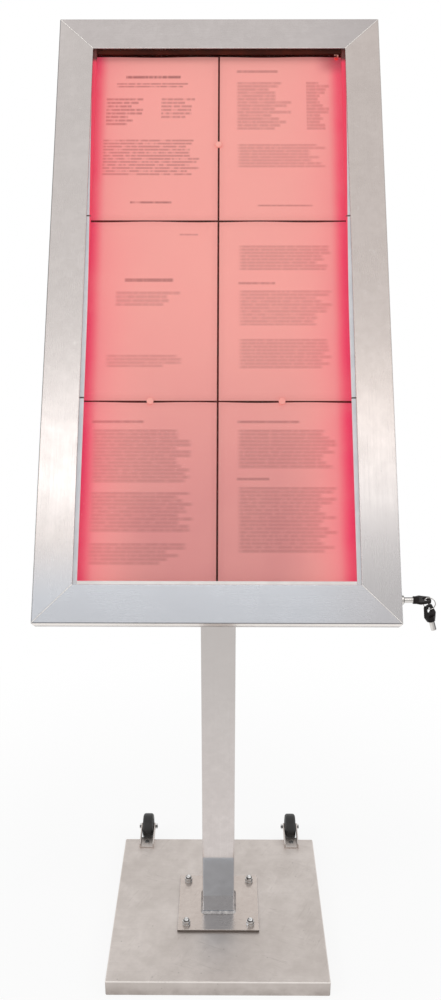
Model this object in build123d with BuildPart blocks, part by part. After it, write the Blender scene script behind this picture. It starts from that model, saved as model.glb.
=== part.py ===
# Free-standing menu display case: a lit, lockable case tilted back on a post with a weighted base.
# Millimetres. X runs to the right, -Y is the reading side, +Z is up.
# The origin lies on the floor under the middle of the base.
import os
from math import cos, radians, sin

from build123d import *

os.makedirs("parts", exist_ok=True)

# Driving dimensions: base and post
base_side = 400.0
base_height = 30.0
base_sheet = 2.5
base_bend = 3.0
ballast_thickness = 12.0
flange_side = 154.0
flange_thickness = 5.0
post_side = 60.0
post_wall = 3.0
post_bend = 3.0
weld_leg = 4.0
stud_inset = 16.5
stud_diameter = 8.0
washer_diameter = 15.0
washer_thickness = 1.2
nut_flats = 13.0
nut_height = 5.5
dome_height = 6.5
dome_round = 5.5

# Driving dimensions: tilt-and-roll wheels behind the rear edge
wheel_diameter = 54.0
wheel_width = 22.0
tyre_thickness = 7.0
wheel_inset = 47.0
axle_diameter = 6.0
axle_reach = 30.0
axle_rise = 10.0
bracket_sheet = 2.5
bracket_length = 30.0
arm_radius = 7.0
bracket_screw_diameter = 6.0
wheel_gap = 1.5

# Driving dimensions: tilted case
case_tilt = 34.6
case_back_height = 1204.8
case_drop = 33.8
frame_face = 55.0
door_depth = 20.0
door_sheet = 1.5
window_lip = 8.0
housing_depth = 10.0
housing_sheet = 2.0
housing_rim_width = 12.0
corner_seam = 0.2
door_gap = 0.4
corner_radius = 1.0

# Driving dimensions: glazing, sheets and lighting
pane_thickness = 3.0
pane_cover = 8.0
bead_width = 6.0
bead_thickness = 3.0
clip_width = 24.0
clip_sheet = 1.5
clip_foot_length = 12.0
seal_section = 4.0
sheet_width = 210.0
sheet_length = 297.0
sheet_thickness = 0.5
sheet_gap = 1.5
sheet_columns = 2
sheet_rows = 3
sheet_side_cover = 8.75
sheet_foot_cover = 18.0
board_margin = 6.5
board_thickness = 2.0
board_front = 20.5
magnet_diameter = 10.0
magnet_thickness = 3.0
magnet_high_drop = 163.5
magnet_low_left = -100.0
magnet_low_right = 95.0
spacer_diameter = 8.0
board_screw_diameter = 3.0
board_head = 14.0
rail_margin = 13.0
rail_sheet = 1.5
rail_foot = 16.0
rail_front = 13.0
rail_inset = 6.75
strip_width = 6.0
strip_thickness = 1.2
led_size = 3.0
led_height = 1.4
led_pitch = 25.0
lens_wall = 0.8
lens_depth = 4.5

# Driving dimensions: driver, gland and lead hook
driver_length = 130.0
driver_width = 42.0
driver_height = 18.0
driver_ear = 10.0
driver_rise = 250.0
gland_drop = 150.0
gland_thread = 16.0
gland_flats = 22.0
gland_bore = 8.0
gland_length = 18.0
hook_width = 6.6
hook_height = 12.8
hook_wall = 2.3
hook_opening = 5.0
hook_depth = 2.5
hook_inset = 21.0

# Driving dimensions: head plate
head_plate_side = 180.0
head_plate_thickness = 5.0
head_screw_inset = 20.0
head_screw_diameter = 8.0

# Driving dimensions: hinges
hinge_length = 45.0
hinge_margin = 28.0
hinge_count = 3
knuckle_diameter = 3.2
hinge_pin_diameter = 1.6
leaf_thickness = 0.8
leaf_width = 7.0

# Driving dimensions: lock and keys
lock_height = 35.5
lock_inset = 10.0
lock_rim_diameter = 13.0
lock_rim_height = 4.0
lock_body_diameter = 12.0
lock_body_length = 16.0
lock_plug_diameter = 9.0
lock_nut_flats = 16.0
lock_nut_height = 4.0
plug_lip = 0.7
cam_square = 4.5
cam_thickness = 2.5
cam_width = 6.0
cam_reach = 14.8
cam_finger = 6.4
cam_finger_thickness = 2.0
cam_screw_head = 7.0
strike_thickness = 2.0
strike_length = 20.0
key_tube_diameter = 7.8
key_tube_wall = 1.0
key_insertion = 6.4
key_show = 12.5
key_grip = 6.0
bow_length = 24.7
bow_width = 20.0
bow_end_width = 12.0
bow_thickness = 4.0
bow_shoulder = 9.5
bow_rise = 85.0
bow_hole_diameter = 8.6
bow_bar = 3.0
bow_round = 2.0
bow_collar = 1.6
ring_radius = 8.5
ring_wire = 1.4
ring_rest = 0.6
ring_turn = 20.0
spare_rest = 2.2
spare_turn = 36.0
spare_lean = 17.0
spare_tube_length = 14.0

# Fastener proportions, as shares of the thread diameter
screw_head_share = 0.65
hex_flats_share = 1.625
hex_nut_share = 0.8
rivet_head_share = 1.7

# Clearances
slide_fit = 0.05
hole_clearance = 0.5
seat_clearance = 0.3
assembly_clearance = 0.25


def save(builder, name):
    """Label a finished sub-part and write it as its own STEP file."""
    builder.part.label = name
    export_step(builder.part, f"parts/{name}.step")


# Shared places on the base and the post
wheel_spacing = base_side - 2 * wheel_inset
stud_pitch = flange_side - 2 * stud_inset
head_screw_pitch = head_plate_side - 2 * head_screw_inset
base_top = base_height
flange_top = base_top + flange_thickness
ballast_side = base_side - 2 * (base_sheet + assembly_clearance)
spacer_height = base_height - base_sheet - ballast_thickness
stud_top = flange_top + washer_thickness + nut_height

# The window shows the field of sheets, and the case follows the window
field_width = sheet_columns * sheet_width + (sheet_columns - 1) * sheet_gap
field_height = sheet_rows * sheet_length + (sheet_rows - 1) * sheet_gap
window_width = field_width - 2 * sheet_side_cover
window_height = field_height - sheet_foot_cover
case_width = window_width + 2 * frame_face
case_height = window_height + 2 * frame_face
sheet_top = window_height / 2

# The case frame: origin on the middle of the door's front face, x to the right, y up the slope, z outward
case_depth = door_depth + door_gap + housing_depth
tilt = radians(case_tilt)
outward = Vector(0, -cos(tilt), sin(tilt))
upslope = Vector(0, sin(tilt), cos(tilt))
post_head = Vector(0, 0, case_back_height)
case_front = post_head + outward * case_depth - upslope * case_drop
case_plane = Plane(origin=case_front, x_dir=(1, 0, 0), z_dir=outward)


def depth_plane(depth):
    """A plane parallel to the door, this far behind its front face."""
    return case_plane.offset(-depth)


# Base cover: a folded sheet tray turned upside down over the ballast
with BuildPart() as base_cover:
    Box(base_side, base_side, base_height, align=(Align.CENTER, Align.CENTER, Align.MIN))
    fillet(base_cover.edges().filter_by(Axis.Z), base_bend)
    fillet(base_cover.faces().sort_by(Axis.Z)[-1].edges(), base_bend)
    with BuildSketch(Plane.XY):
        Rectangle(base_side - 2 * base_sheet, base_side - 2 * base_sheet)
    extrude(amount=base_height - base_sheet, mode=Mode.SUBTRACT)
    with BuildSketch(Plane.XY.offset(base_top - base_sheet)):
        with GridLocations(stud_pitch, stud_pitch, 2, 2):
            Circle(stud_diameter / 2 + hole_clearance)
    extrude(amount=base_sheet, mode=Mode.SUBTRACT)
    with BuildSketch(Plane.XY.offset(base_top - base_sheet)):
        for wheel_x in (-wheel_spacing / 2, wheel_spacing / 2):
            with Locations((wheel_x, base_side / 2 - bracket_length / 2)):
                Circle(bracket_screw_diameter / 2 + assembly_clearance)
    extrude(amount=base_sheet, mode=Mode.SUBTRACT)
save(base_cover, "base_cover")

# Ballast: a steel slab on the floor that the four studs screw into
with BuildPart() as base_ballast:
    Box(ballast_side, ballast_side, ballast_thickness, align=(Align.CENTER, Align.CENTER, Align.MIN))
    with BuildSketch(Plane.XY.offset(ballast_thickness / 2)):
        with GridLocations(stud_pitch, stud_pitch, 2, 2):
            Circle(stud_diameter / 2 + slide_fit)
    extrude(amount=ballast_thickness / 2, mode=Mode.SUBTRACT)
save(base_ballast, "base_ballast")

with BuildPart() as stud_spacers:
    with BuildSketch(Plane.XY.offset(ballast_thickness)):
        with GridLocations(stud_pitch, stud_pitch, 2, 2):
            Circle(washer_diameter / 2)
            Circle(stud_diameter / 2 + hole_clearance, mode=Mode.SUBTRACT)
    extrude(amount=spacer_height)
save(stud_spacers, "stud_spacers")

with BuildPart() as flange_studs:
    with BuildSketch(Plane.XY.offset(ballast_thickness / 2)):
        with GridLocations(stud_pitch, stud_pitch, 2, 2):
            Circle(stud_diameter / 2)
    extrude(amount=stud_top - ballast_thickness / 2)
    chamfer(flange_studs.faces().sort_by(Axis.Z)[-4:].edges(), stud_diameter / 12)
save(flange_studs, "flange_studs")

with BuildPart() as column_flange:
    with BuildSketch(Plane.XY.offset(base_top)):
        Rectangle(flange_side, flange_side)
        with GridLocations(stud_pitch, stud_pitch, 2, 2):
            Circle(stud_diameter / 2 + hole_clearance, mode=Mode.SUBTRACT)
    extrude(amount=flange_thickness)
    chamfer(column_flange.faces().sort_by(Axis.Z)[-1].outer_wire().edges(), flange_thickness / 10)
save(column_flange, "column_flange")

with BuildPart() as flange_washers:
    with BuildSketch(Plane.XY.offset(flange_top)):
        with GridLocations(stud_pitch, stud_pitch, 2, 2):
            Circle(washer_diameter / 2)
            Circle(stud_diameter / 2 + hole_clearance, mode=Mode.SUBTRACT)
    extrude(amount=washer_thickness)
save(flange_washers, "flange_washers")

# Dome nuts: a hexagon with a rounded cap over the stud's end
with BuildPart() as flange_dome_nuts:
    with BuildSketch(Plane.XY.offset(flange_top + washer_thickness)):
        with GridLocations(stud_pitch, stud_pitch, 2, 2):
            RegularPolygon(nut_flats / 2, 6, major_radius=False)
    extrude(amount=nut_height)
    cap_radius = nut_flats / 2
    cap_plane = Plane.XY.offset(flange_top + washer_thickness + nut_height)
    with BuildSketch(cap_plane):
        with GridLocations(stud_pitch, stud_pitch, 2, 2):
            Circle(cap_radius - hole_clearance)
    extrude(amount=dome_height)
    cap_faces = flange_dome_nuts.faces().sort_by(Axis.Z)[-4:]
    fillet(cap_faces.edges(), dome_round)
    with BuildSketch(Plane.XY.offset(flange_top + washer_thickness)):
        with GridLocations(stud_pitch, stud_pitch, 2, 2):
            Circle(stud_diameter / 2 + slide_fit)
    extrude(amount=stud_top - flange_top - washer_thickness + seat_clearance, mode=Mode.SUBTRACT)
save(flange_dome_nuts, "flange_dome_nuts")

# Post: a square tube cut on the slope where it meets the head plate
head_plate_depth = case_depth + head_plate_thickness
post_top_plane = depth_plane(head_plate_depth)
with BuildPart() as column_tube:
    with BuildSketch(Plane.XY.offset(flange_top)):
        RectangleRounded(post_side, post_side, post_bend)
        Rectangle(post_side - 2 * post_wall, post_side - 2 * post_wall, mode=Mode.SUBTRACT)
    extrude(amount=case_back_height + post_side)
    split(bisect_by=post_top_plane, keep=Keep.BOTTOM)
save(column_tube, "column_tube")

# Weld beads round the post, at the head plate and at the flange
with BuildPart() as column_welds:
    with BuildSketch(Plane.XY.offset(case_back_height / 2)):
        RectangleRounded(post_side + 2 * weld_leg, post_side + 2 * weld_leg, post_bend + weld_leg)
    extrude(amount=case_back_height / 2 + 2 * post_side)
    split(bisect_by=post_top_plane, keep=Keep.BOTTOM)
    split(bisect_by=depth_plane(head_plate_depth + weld_leg), keep=Keep.TOP)
    with BuildSketch(Plane.XY.offset(flange_top)):
        RectangleRounded(post_side + 2 * weld_leg, post_side + 2 * weld_leg, post_bend + weld_leg)
    with BuildSketch(Plane.XY.offset(flange_top + weld_leg)):
        RectangleRounded(post_side + weld_leg / 2, post_side + weld_leg / 2, post_bend + weld_leg / 4)
    loft()
    with BuildSketch(Plane.XY.offset(flange_top)):
        RectangleRounded(post_side, post_side, post_bend)
    extrude(amount=case_back_height + post_side, mode=Mode.SUBTRACT)
save(column_welds, "column_welds")

# Head plate: bolted flat against the back of the case, round the post's axis
head_reach = head_screw_pitch / 2
head_places = [(x, case_drop + y) for x in (-head_reach, head_reach) for y in (-head_reach, head_reach)]
with BuildPart() as head_plate:
    with BuildSketch(post_top_plane):
        with Locations((0, case_drop)):
            RectangleRounded(head_plate_side, head_plate_side, head_plate_thickness)
        with Locations(*head_places):
            Circle(head_screw_diameter / 2 + hole_clearance, mode=Mode.SUBTRACT)
    extrude(amount=head_plate_thickness)
save(head_plate, "head_plate")

head_screw_head = head_screw_diameter * screw_head_share
head_nut_flats = head_screw_diameter * hex_flats_share
head_nut_height = head_screw_diameter * hex_nut_share
housing_floor = case_depth - housing_sheet
with BuildPart() as head_screws:
    with BuildSketch(depth_plane(housing_floor)):
        with Locations(*head_places):
            RegularPolygon(head_nut_flats / 2, 6, major_radius=False)
    extrude(amount=head_screw_head)
    with BuildSketch(depth_plane(head_plate_depth + head_nut_height + seat_clearance)):
        with Locations(*head_places):
            Circle(head_screw_diameter / 2)
    extrude(amount=head_plate_depth + head_nut_height + seat_clearance - housing_floor)
save(head_screws, "head_screws")

with BuildPart() as head_nuts:
    with BuildSketch(depth_plane(head_plate_depth + head_nut_height)):
        with Locations(*head_places):
            RegularPolygon(head_nut_flats / 2, 6, major_radius=False)
            Circle(head_screw_diameter / 2 + slide_fit, mode=Mode.SUBTRACT)
    extrude(amount=head_nut_height)
save(head_nuts, "head_nuts")

# Tilt-and-roll wheels: each runs on an axle between the arms of a folded bracket
axle_y = base_side / 2 + axle_reach
axle_z = base_top + axle_rise
bracket_inner = wheel_width + 2 * wheel_gap
bracket_outer = bracket_inner + 2 * bracket_sheet
bracket_front = base_side / 2 - bracket_length
web_end = axle_y - wheel_diameter / 2 - wheel_gap
hub_radius = wheel_diameter / 2 - tyre_thickness
boss_length = bracket_inner - 2 * seat_clearance
axle_nut_flats = axle_diameter * hex_flats_share
axle_nut_height = axle_diameter * hex_nut_share
axle_head_height = axle_diameter * screw_head_share
for side, wheel_x in (("left", -wheel_spacing / 2), ("right", wheel_spacing / 2)):
    wheel_plane = Plane(origin=(wheel_x, axle_y, axle_z), x_dir=(0, 1, 0), z_dir=(1, 0, 0))

    with BuildPart() as caster_bracket:
        with BuildSketch(wheel_plane.offset(-bracket_outer / 2)):
            with BuildLine():
                arm_start = (bracket_front - axle_y, base_top - axle_z)
                arm_back = (arm_start[0], arm_start[1] + axle_rise)
                arm_top = (-arm_radius, arm_radius)
                arm_end = (0, arm_radius)
                arm_low = (0, -arm_radius)
                arm_foot = (base_side / 2 - axle_y, arm_start[1])
                Polyline(arm_start, arm_back, arm_top, arm_end)
                ThreePointArc(arm_end, (arm_radius, 0), arm_low)
                Polyline(arm_low, arm_foot, arm_start)
            make_face()
        extrude(amount=bracket_outer)
        with BuildSketch(Plane.XY.offset(base_top + bracket_sheet)):
            with Locations((wheel_x, axle_y)):
                Rectangle(bracket_inner, 4 * bracket_length)
        extrude(amount=wheel_diameter, mode=Mode.SUBTRACT)
        with BuildSketch(Plane.XY):
            with Locations((wheel_x, web_end)):
                Rectangle(bracket_inner, wheel_diameter, align=(Align.CENTER, Align.MIN))
        extrude(amount=2 * base_top, mode=Mode.SUBTRACT)
        with BuildSketch(wheel_plane.offset(-bracket_outer / 2)):
            Circle(axle_diameter / 2 + slide_fit)
        extrude(amount=bracket_outer, mode=Mode.SUBTRACT)
        with BuildSketch(Plane.XY.offset(base_top)):
            with Locations((wheel_x, base_side / 2 - bracket_length / 2)):
                Circle(bracket_screw_diameter / 2 + assembly_clearance)
        extrude(amount=bracket_sheet, mode=Mode.SUBTRACT)
    save(caster_bracket, f"caster_bracket_{side}")

    with BuildPart() as caster_wheel:
        with BuildSketch(wheel_plane.offset(-wheel_width / 2)):
            Circle(hub_radius)
        extrude(amount=wheel_width)
        with BuildSketch(wheel_plane.offset(-wheel_width / 2), wheel_plane.offset(wheel_width / 4)):
            Circle(hub_radius - tyre_thickness / 2)
            Circle(axle_diameter, mode=Mode.SUBTRACT)
        extrude(amount=wheel_width / 4, mode=Mode.SUBTRACT)
        with BuildSketch(wheel_plane.offset(-boss_length / 2)):
            Circle(axle_diameter)
        extrude(amount=boss_length)
        with BuildSketch(wheel_plane.offset(-boss_length / 2)):
            Circle(axle_diameter / 2 + slide_fit)
        extrude(amount=boss_length, mode=Mode.SUBTRACT)
    save(caster_wheel, f"caster_wheel_{side}")

    with BuildPart() as caster_tyre:
        with BuildSketch(wheel_plane.offset(-wheel_width / 2)):
            Circle(wheel_diameter / 2)
        extrude(amount=wheel_width)
        fillet(caster_tyre.edges(), wheel_width / 4)
        with BuildSketch(wheel_plane.offset(-wheel_width / 2)):
            Circle(hub_radius)
        extrude(amount=wheel_width, mode=Mode.SUBTRACT)
    save(caster_tyre, f"caster_tyre_{side}")

# Axle bolts, heads outside and nuts on the inner side
axle_sides = ((-wheel_spacing / 2, 1), (wheel_spacing / 2, -1))
with BuildPart() as caster_axles:
    for wheel_x, inward in axle_sides:
        head_x = wheel_x - inward * (bracket_outer / 2 + axle_head_height)
        head_start = Plane(origin=(head_x, axle_y, axle_z), x_dir=(0, 1, 0), z_dir=(inward, 0, 0))
        with BuildSketch(head_start):
            RegularPolygon(axle_nut_flats / 2, 6, major_radius=False)
        extrude(amount=axle_head_height)
        with BuildSketch(head_start):
            Circle(axle_diameter / 2)
        extrude(amount=axle_head_height + bracket_outer + axle_nut_height + seat_clearance)
save(caster_axles, "caster_axles")

with BuildPart() as caster_nuts:
    for wheel_x, inward in axle_sides:
        nut_x = wheel_x + inward * bracket_outer / 2
        with BuildSketch(Plane(origin=(nut_x, axle_y, axle_z), x_dir=(0, 1, 0), z_dir=(inward, 0, 0))):
            RegularPolygon(axle_nut_flats / 2, 6, major_radius=False)
            Circle(axle_diameter / 2 + slide_fit, mode=Mode.SUBTRACT)
        extrude(amount=axle_nut_height)
save(caster_nuts, "caster_nuts")

# Blind rivets that hold the bracket webs on the base
rivet_head = bracket_screw_diameter * rivet_head_share
rivet_places = [(x, base_side / 2 - bracket_length / 2) for x, inward in axle_sides]
with BuildPart() as caster_rivets:
    with BuildSketch(Plane.XY.offset(base_top + bracket_sheet)):
        with Locations(*rivet_places):
            Circle(rivet_head / 2)
    extrude(amount=bracket_screw_diameter / 4)
    with BuildSketch(Plane.XY.offset(base_top - base_sheet)):
        with Locations(*rivet_places):
            Circle(bracket_screw_diameter / 2)
    extrude(amount=base_sheet + bracket_sheet)
    with BuildSketch(Plane.XY.offset(base_top - base_sheet)):
        with Locations(*rivet_places):
            Circle(rivet_head / 2)
    extrude(amount=-bracket_screw_diameter / 2)
save(caster_rivets, "caster_rivets")

# Places inside the case
rim_back = door_depth + door_gap + housing_sheet
board_width = field_width + 2 * board_margin
board_height = field_height + board_head + board_margin
board_middle = sheet_top + board_head - board_height / 2
rail_x = board_width / 2 + rail_inset
lock_y = lock_height - case_height / 2


def cross_plane(rise):
    """A plane square to the slope: its x is X and its y is the depth behind the door's front face."""
    return Plane(origin=case_front + upslope * rise, x_dir=(1, 0, 0), z_dir=upslope)


# Rear housing: a sheet back, with walls round it and an inward rim round its mouth
with BuildPart() as housing_back:
    with BuildSketch(depth_plane(case_depth)):
        RectangleRounded(case_width, case_height, corner_radius)
        with Locations(*head_places):
            Circle(head_screw_diameter / 2 + hole_clearance, mode=Mode.SUBTRACT)
        with Locations((0, -gland_drop)):
            Circle(gland_thread / 2 + assembly_clearance, mode=Mode.SUBTRACT)
    extrude(amount=housing_sheet)
save(housing_back, "housing_back")


def mitred_strips(strip, depth, height):
    """Four flat strips round the case's outline, with a thin seam at each mitred corner."""
    with BuildSketch(depth_plane(depth)) as ring:
        RectangleRounded(case_width, case_height, corner_radius)
        Rectangle(case_width - 2 * strip, case_height - 2 * strip, mode=Mode.SUBTRACT)
        for turn in (-1, 1):
            for end in (-1, 1):
                with Locations((turn * (case_width - strip) / 2, end * (case_height - strip) / 2)):
                    Rectangle(2 * strip, corner_seam, turn * end * 45, mode=Mode.SUBTRACT)
    extrude(ring.sketch, amount=height)


with BuildPart() as housing_walls:
    mitred_strips(housing_sheet, housing_floor, housing_floor - rim_back)
save(housing_walls, "housing_walls")

with BuildPart() as housing_rim:
    mitred_strips(housing_rim_width, rim_back, housing_sheet)
save(housing_rim, "housing_rim")

# Board that the menu sheets are held on, on six spacers
board_back = board_front + board_thickness
spacer_x = field_width + board_margin
spacer_y = (board_height - 4 * spacer_diameter) / 2
with BuildPart() as back_board:
    with BuildSketch(depth_plane(board_back)):
        with Locations((0, board_middle)):
            Rectangle(board_width, board_height)
            with GridLocations(spacer_x, spacer_y, 2, 3):
                Circle(board_screw_diameter / 2 + assembly_clearance, mode=Mode.SUBTRACT)
    extrude(amount=board_thickness)
save(back_board, "back_board")

with BuildPart() as board_spacers:
    with BuildSketch(depth_plane(housing_floor)):
        with Locations((0, board_middle)):
            with GridLocations(spacer_x, spacer_y, 2, 3):
                Circle(spacer_diameter / 2)
                Circle(board_screw_diameter / 2 + slide_fit, mode=Mode.SUBTRACT)
    extrude(amount=housing_floor - board_back)
save(board_spacers, "board_spacers")

board_screw_head = board_screw_diameter / 2
with BuildPart() as board_screws:
    with BuildSketch(depth_plane(board_front)):
        with Locations((0, board_middle)):
            with GridLocations(spacer_x, spacer_y, 2, 3):
                Circle(board_screw_diameter)
    extrude(amount=board_screw_head)
    with BuildSketch(depth_plane((board_back + housing_floor) / 2)):
        with Locations((0, board_middle)):
            with GridLocations(spacer_x, spacer_y, 2, 3):
                Circle(board_screw_diameter / 2)
    extrude(amount=(board_back + housing_floor) / 2 - board_front)
save(board_screws, "board_screws")

# Menu sheets in rows and columns, with three round magnets over their gaps
sheet_middle = sheet_top - field_height / 2
sheet_step = (sheet_width + sheet_gap, sheet_length + sheet_gap)
sheet_face = board_front - sheet_thickness
with BuildPart() as menu_sheets:
    with BuildSketch(depth_plane(board_front)):
        with Locations((0, sheet_middle)):
            with GridLocations(*sheet_step, sheet_columns, sheet_rows):
                Rectangle(sheet_width, sheet_length)
    extrude(amount=sheet_thickness)
save(menu_sheets, "menu_sheets")

lower_gap = sheet_top - 2 * sheet_length - 1.5 * sheet_gap
magnet_places = [(0, sheet_top - magnet_high_drop), (magnet_low_left, lower_gap),
                 (magnet_low_right, lower_gap)]
with BuildPart() as sheet_magnets:
    with BuildSketch(depth_plane(sheet_face)):
        with Locations(*magnet_places):
            Circle(magnet_diameter / 2)
    extrude(amount=magnet_thickness)
    fillet(sheet_magnets.edges().group_by(Axis(case_front, outward))[-1], magnet_thickness / 6)
save(sheet_magnets, "sheet_magnets")

# Edge lighting: an angle rail, a strip of lamps and a clear lens on each side of the board
rail_length = window_height - 2 * rail_margin
rail_bottom = cross_plane(-rail_length / 2)
strip_depth = rail_front + strip_width / 2 + lens_wall + 2 * slide_fit
lens_half = strip_width / 2 + slide_fit
led_count = int(rail_length / led_pitch) - 1
for side, turn in (("left", -1), ("right", 1)):
    with BuildPart() as led_rail:
        with BuildSketch(rail_bottom):
            with Locations((turn * (rail_x + rail_sheet / 2), (rail_front + housing_floor) / 2)):
                Rectangle(rail_sheet, housing_floor - rail_front)
            with Locations((turn * (rail_x + rail_foot / 2), housing_floor - rail_sheet / 2)):
                Rectangle(rail_foot, rail_sheet)
        extrude(amount=rail_length)
    save(led_rail, f"led_rail_{side}")

with BuildPart() as led_strips:
    for turn in (-1, 1):
        with BuildSketch(rail_bottom):
            with Locations((turn * (rail_x - strip_thickness / 2), strip_depth)):
                Rectangle(strip_thickness, strip_width)
        extrude(amount=rail_length)
        strip_face = Vector(turn * (rail_x - strip_thickness), 0, 0) + case_front - outward * strip_depth
        with BuildSketch(Plane(origin=strip_face, x_dir=upslope, z_dir=(-turn, 0, 0))):
            with GridLocations(led_pitch, led_pitch, led_count, 1):
                Rectangle(led_size, led_size)
        extrude(amount=led_height)
save(led_strips, "led_strips")

with BuildPart() as led_lenses:
    with BuildSketch(rail_bottom):
        for turn in (-1, 1):
            with Locations((turn * (rail_x - lens_depth / 2), strip_depth)):
                Rectangle(lens_depth, 2 * (lens_half + lens_wall))
            with Locations((turn * (rail_x - (lens_depth - lens_wall) / 2), strip_depth)):
                Rectangle(lens_depth - lens_wall, 2 * lens_half, mode=Mode.SUBTRACT)
    extrude(amount=rail_length)
save(led_lenses, "led_lenses")

# Lamp driver: a flat box with two ears on the outside of the back
with BuildPart() as led_driver:
    with BuildSketch(depth_plane(case_depth)):
        with Locations((0, driver_rise)):
            RectangleRounded(driver_length, driver_width, corner_radius)
    extrude(amount=-driver_height)
    fillet(led_driver.faces().sort_by(Axis(case_front, outward))[0].edges(), corner_radius)
    with BuildSketch(depth_plane(case_depth)):
        with Locations((0, driver_rise)):
            RectangleRounded(driver_length + 2 * driver_ear, driver_width, corner_radius)
            with GridLocations(driver_length + driver_ear, driver_ear, 2, 1):
                Circle(board_screw_diameter / 2, mode=Mode.SUBTRACT)
    extrude(amount=-housing_sheet)
save(led_driver, "led_driver")

# Cable gland through the back, with its nut inside
with BuildPart() as cable_gland:
    with BuildSketch(depth_plane(case_depth)):
        with Locations((0, -gland_drop)):
            RegularPolygon(gland_flats / 2, 6, major_radius=False)
    extrude(amount=-gland_length / 3)
    with BuildSketch(depth_plane(case_depth)):
        with Locations((0, -gland_drop)):
            Circle(gland_flats / 2 - corner_radius)
    extrude(amount=-gland_length)
    fillet(cable_gland.edges().sort_by(Axis(case_front, outward))[0], corner_radius * 3)
    with BuildSketch(depth_plane(case_depth)):
        with Locations((0, -gland_drop)):
            Circle(gland_thread / 2)
    extrude(amount=housing_sheet)
    with BuildSketch(depth_plane(housing_floor)):
        with Locations((0, -gland_drop)):
            RegularPolygon(gland_flats / 2, 6, major_radius=False)
    extrude(amount=gland_length / 4)
    with BuildSketch(depth_plane(case_depth + gland_length)):
        with Locations((0, -gland_drop)):
            Circle(gland_bore / 2)
    extrude(amount=2 * gland_length, mode=Mode.SUBTRACT)
save(cable_gland, "cable_gland")

# Hook for the lamp lead: a tall ring, open on its left, on a stem above the right-hand sheet
hook_x = field_width / 2 - hook_inset
hook_back = sheet_face - assembly_clearance
with BuildPart() as lead_hook:
    with BuildSketch(depth_plane(hook_back)):
        with Locations((hook_x, sheet_top)):
            SlotOverall(hook_height, hook_width, 90)
            SlotOverall(hook_height - 2 * hook_wall, hook_width - 2 * hook_wall, 90, mode=Mode.SUBTRACT)
            Rectangle(hook_width, hook_opening, align=(Align.MAX, Align.CENTER), mode=Mode.SUBTRACT)
    extrude(amount=hook_depth)
    with BuildSketch(depth_plane(board_front)):
        with Locations((hook_x, sheet_top + (hook_height - hook_wall) / 2)):
            Rectangle(hook_wall, hook_wall)
    extrude(amount=board_front - hook_back + hook_depth / 2)
save(lead_hook, "lead_hook")

# Door frame: four mitred channels, each a face with an outer return and a shorter window lip
half_width = case_width / 2
half_height = case_height / 2
half_window = window_width / 2
half_opening = window_height / 2
outer_corners = [(-half_width, -half_height), (half_width, -half_height),
                 (half_width, half_height), (-half_width, half_height)]
inner_corners = [(-half_window, -half_opening), (half_window, -half_opening),
                 (half_window, half_opening), (-half_window, half_opening)]
lock_origin = case_front + Vector(half_width, 0, 0) + upslope * lock_y - outward * lock_inset
lock_plane = Plane(origin=lock_origin, x_dir=upslope, z_dir=(1, 0, 0))
frame_members = ("door_rail_bottom", "door_stile_right", "door_rail_top", "door_stile_left")
for corner, member in enumerate(frame_members):
    following = (corner + 1) % len(outer_corners)
    with BuildPart() as door_member:
        with BuildSketch(depth_plane(door_depth)):
            Polygon(outer_corners[corner], outer_corners[following],
                    inner_corners[following], inner_corners[corner], align=None)
        extrude(amount=door_depth)
        front_face = door_member.faces().sort_by(Axis(case_front, outward))[-1]
        fillet(front_face.edges().sort_by(SortBy.LENGTH)[-2:], corner_radius)
        with BuildSketch(depth_plane(door_depth)):
            Rectangle(case_width - 2 * door_sheet, case_height - 2 * door_sheet)
            Rectangle(window_width + 2 * door_sheet, window_height + 2 * door_sheet, mode=Mode.SUBTRACT)
        extrude(amount=door_depth - door_sheet, mode=Mode.SUBTRACT)
        with BuildSketch(depth_plane(door_depth)):
            Rectangle(window_width + 2 * door_sheet, window_height + 2 * door_sheet)
        extrude(amount=door_depth - window_lip, mode=Mode.SUBTRACT)
        if member == "door_stile_right":
            with BuildSketch(lock_plane.offset(-2 * door_sheet)):
                Circle(lock_body_diameter / 2 + assembly_clearance)
            extrude(amount=4 * door_sheet, mode=Mode.SUBTRACT)
    save(door_member, member)

# Clear pane behind the window lips, and the pale beads in front of its edges
pane_back = window_lip + pane_thickness
pane_half = half_window + pane_cover
with BuildPart() as door_pane:
    with BuildSketch(depth_plane(pane_back)):
        Rectangle(2 * pane_half, window_height + 2 * pane_cover)
    extrude(amount=pane_thickness)
save(door_pane, "door_pane")

bead_chamfer = bead_thickness / 3
bead_row = half_opening - bead_width / 2
with BuildPart() as glazing_bead_sides:
    with BuildSketch(depth_plane(window_lip)):
        with GridLocations(window_width - bead_width, window_height, 2, 1):
            Rectangle(bead_width, window_height)
    extrude(amount=bead_thickness)
    bead_fronts = glazing_bead_sides.faces().sort_by(Axis(case_front, outward))[-2:]
    chamfer(bead_fronts.edges().sort_by(SortBy.LENGTH)[-4:].sort_by(lambda e: abs(e.center().X))[:2],
            bead_chamfer)
save(glazing_bead_sides, "glazing_bead_sides")

for bead_name, bead_side in (("glazing_bead_top", 1), ("glazing_bead_bottom", -1)):
    with BuildPart() as glazing_bead:
        with BuildSketch(depth_plane(window_lip)):
            with Locations((0, bead_side * bead_row)):
                Rectangle(window_width - 2 * bead_width, bead_width)
        extrude(amount=bead_thickness)
        bead_front = glazing_bead.faces().sort_by(Axis(case_front, outward))[-1]
        long_edges = bead_front.edges().sort_by(SortBy.LENGTH)[-2:].sort_by(Axis(case_front, upslope))
        chamfer(long_edges[0] if bead_side > 0 else long_edges[-1], bead_chamfer)
    save(glazing_bead, bead_name)

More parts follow.
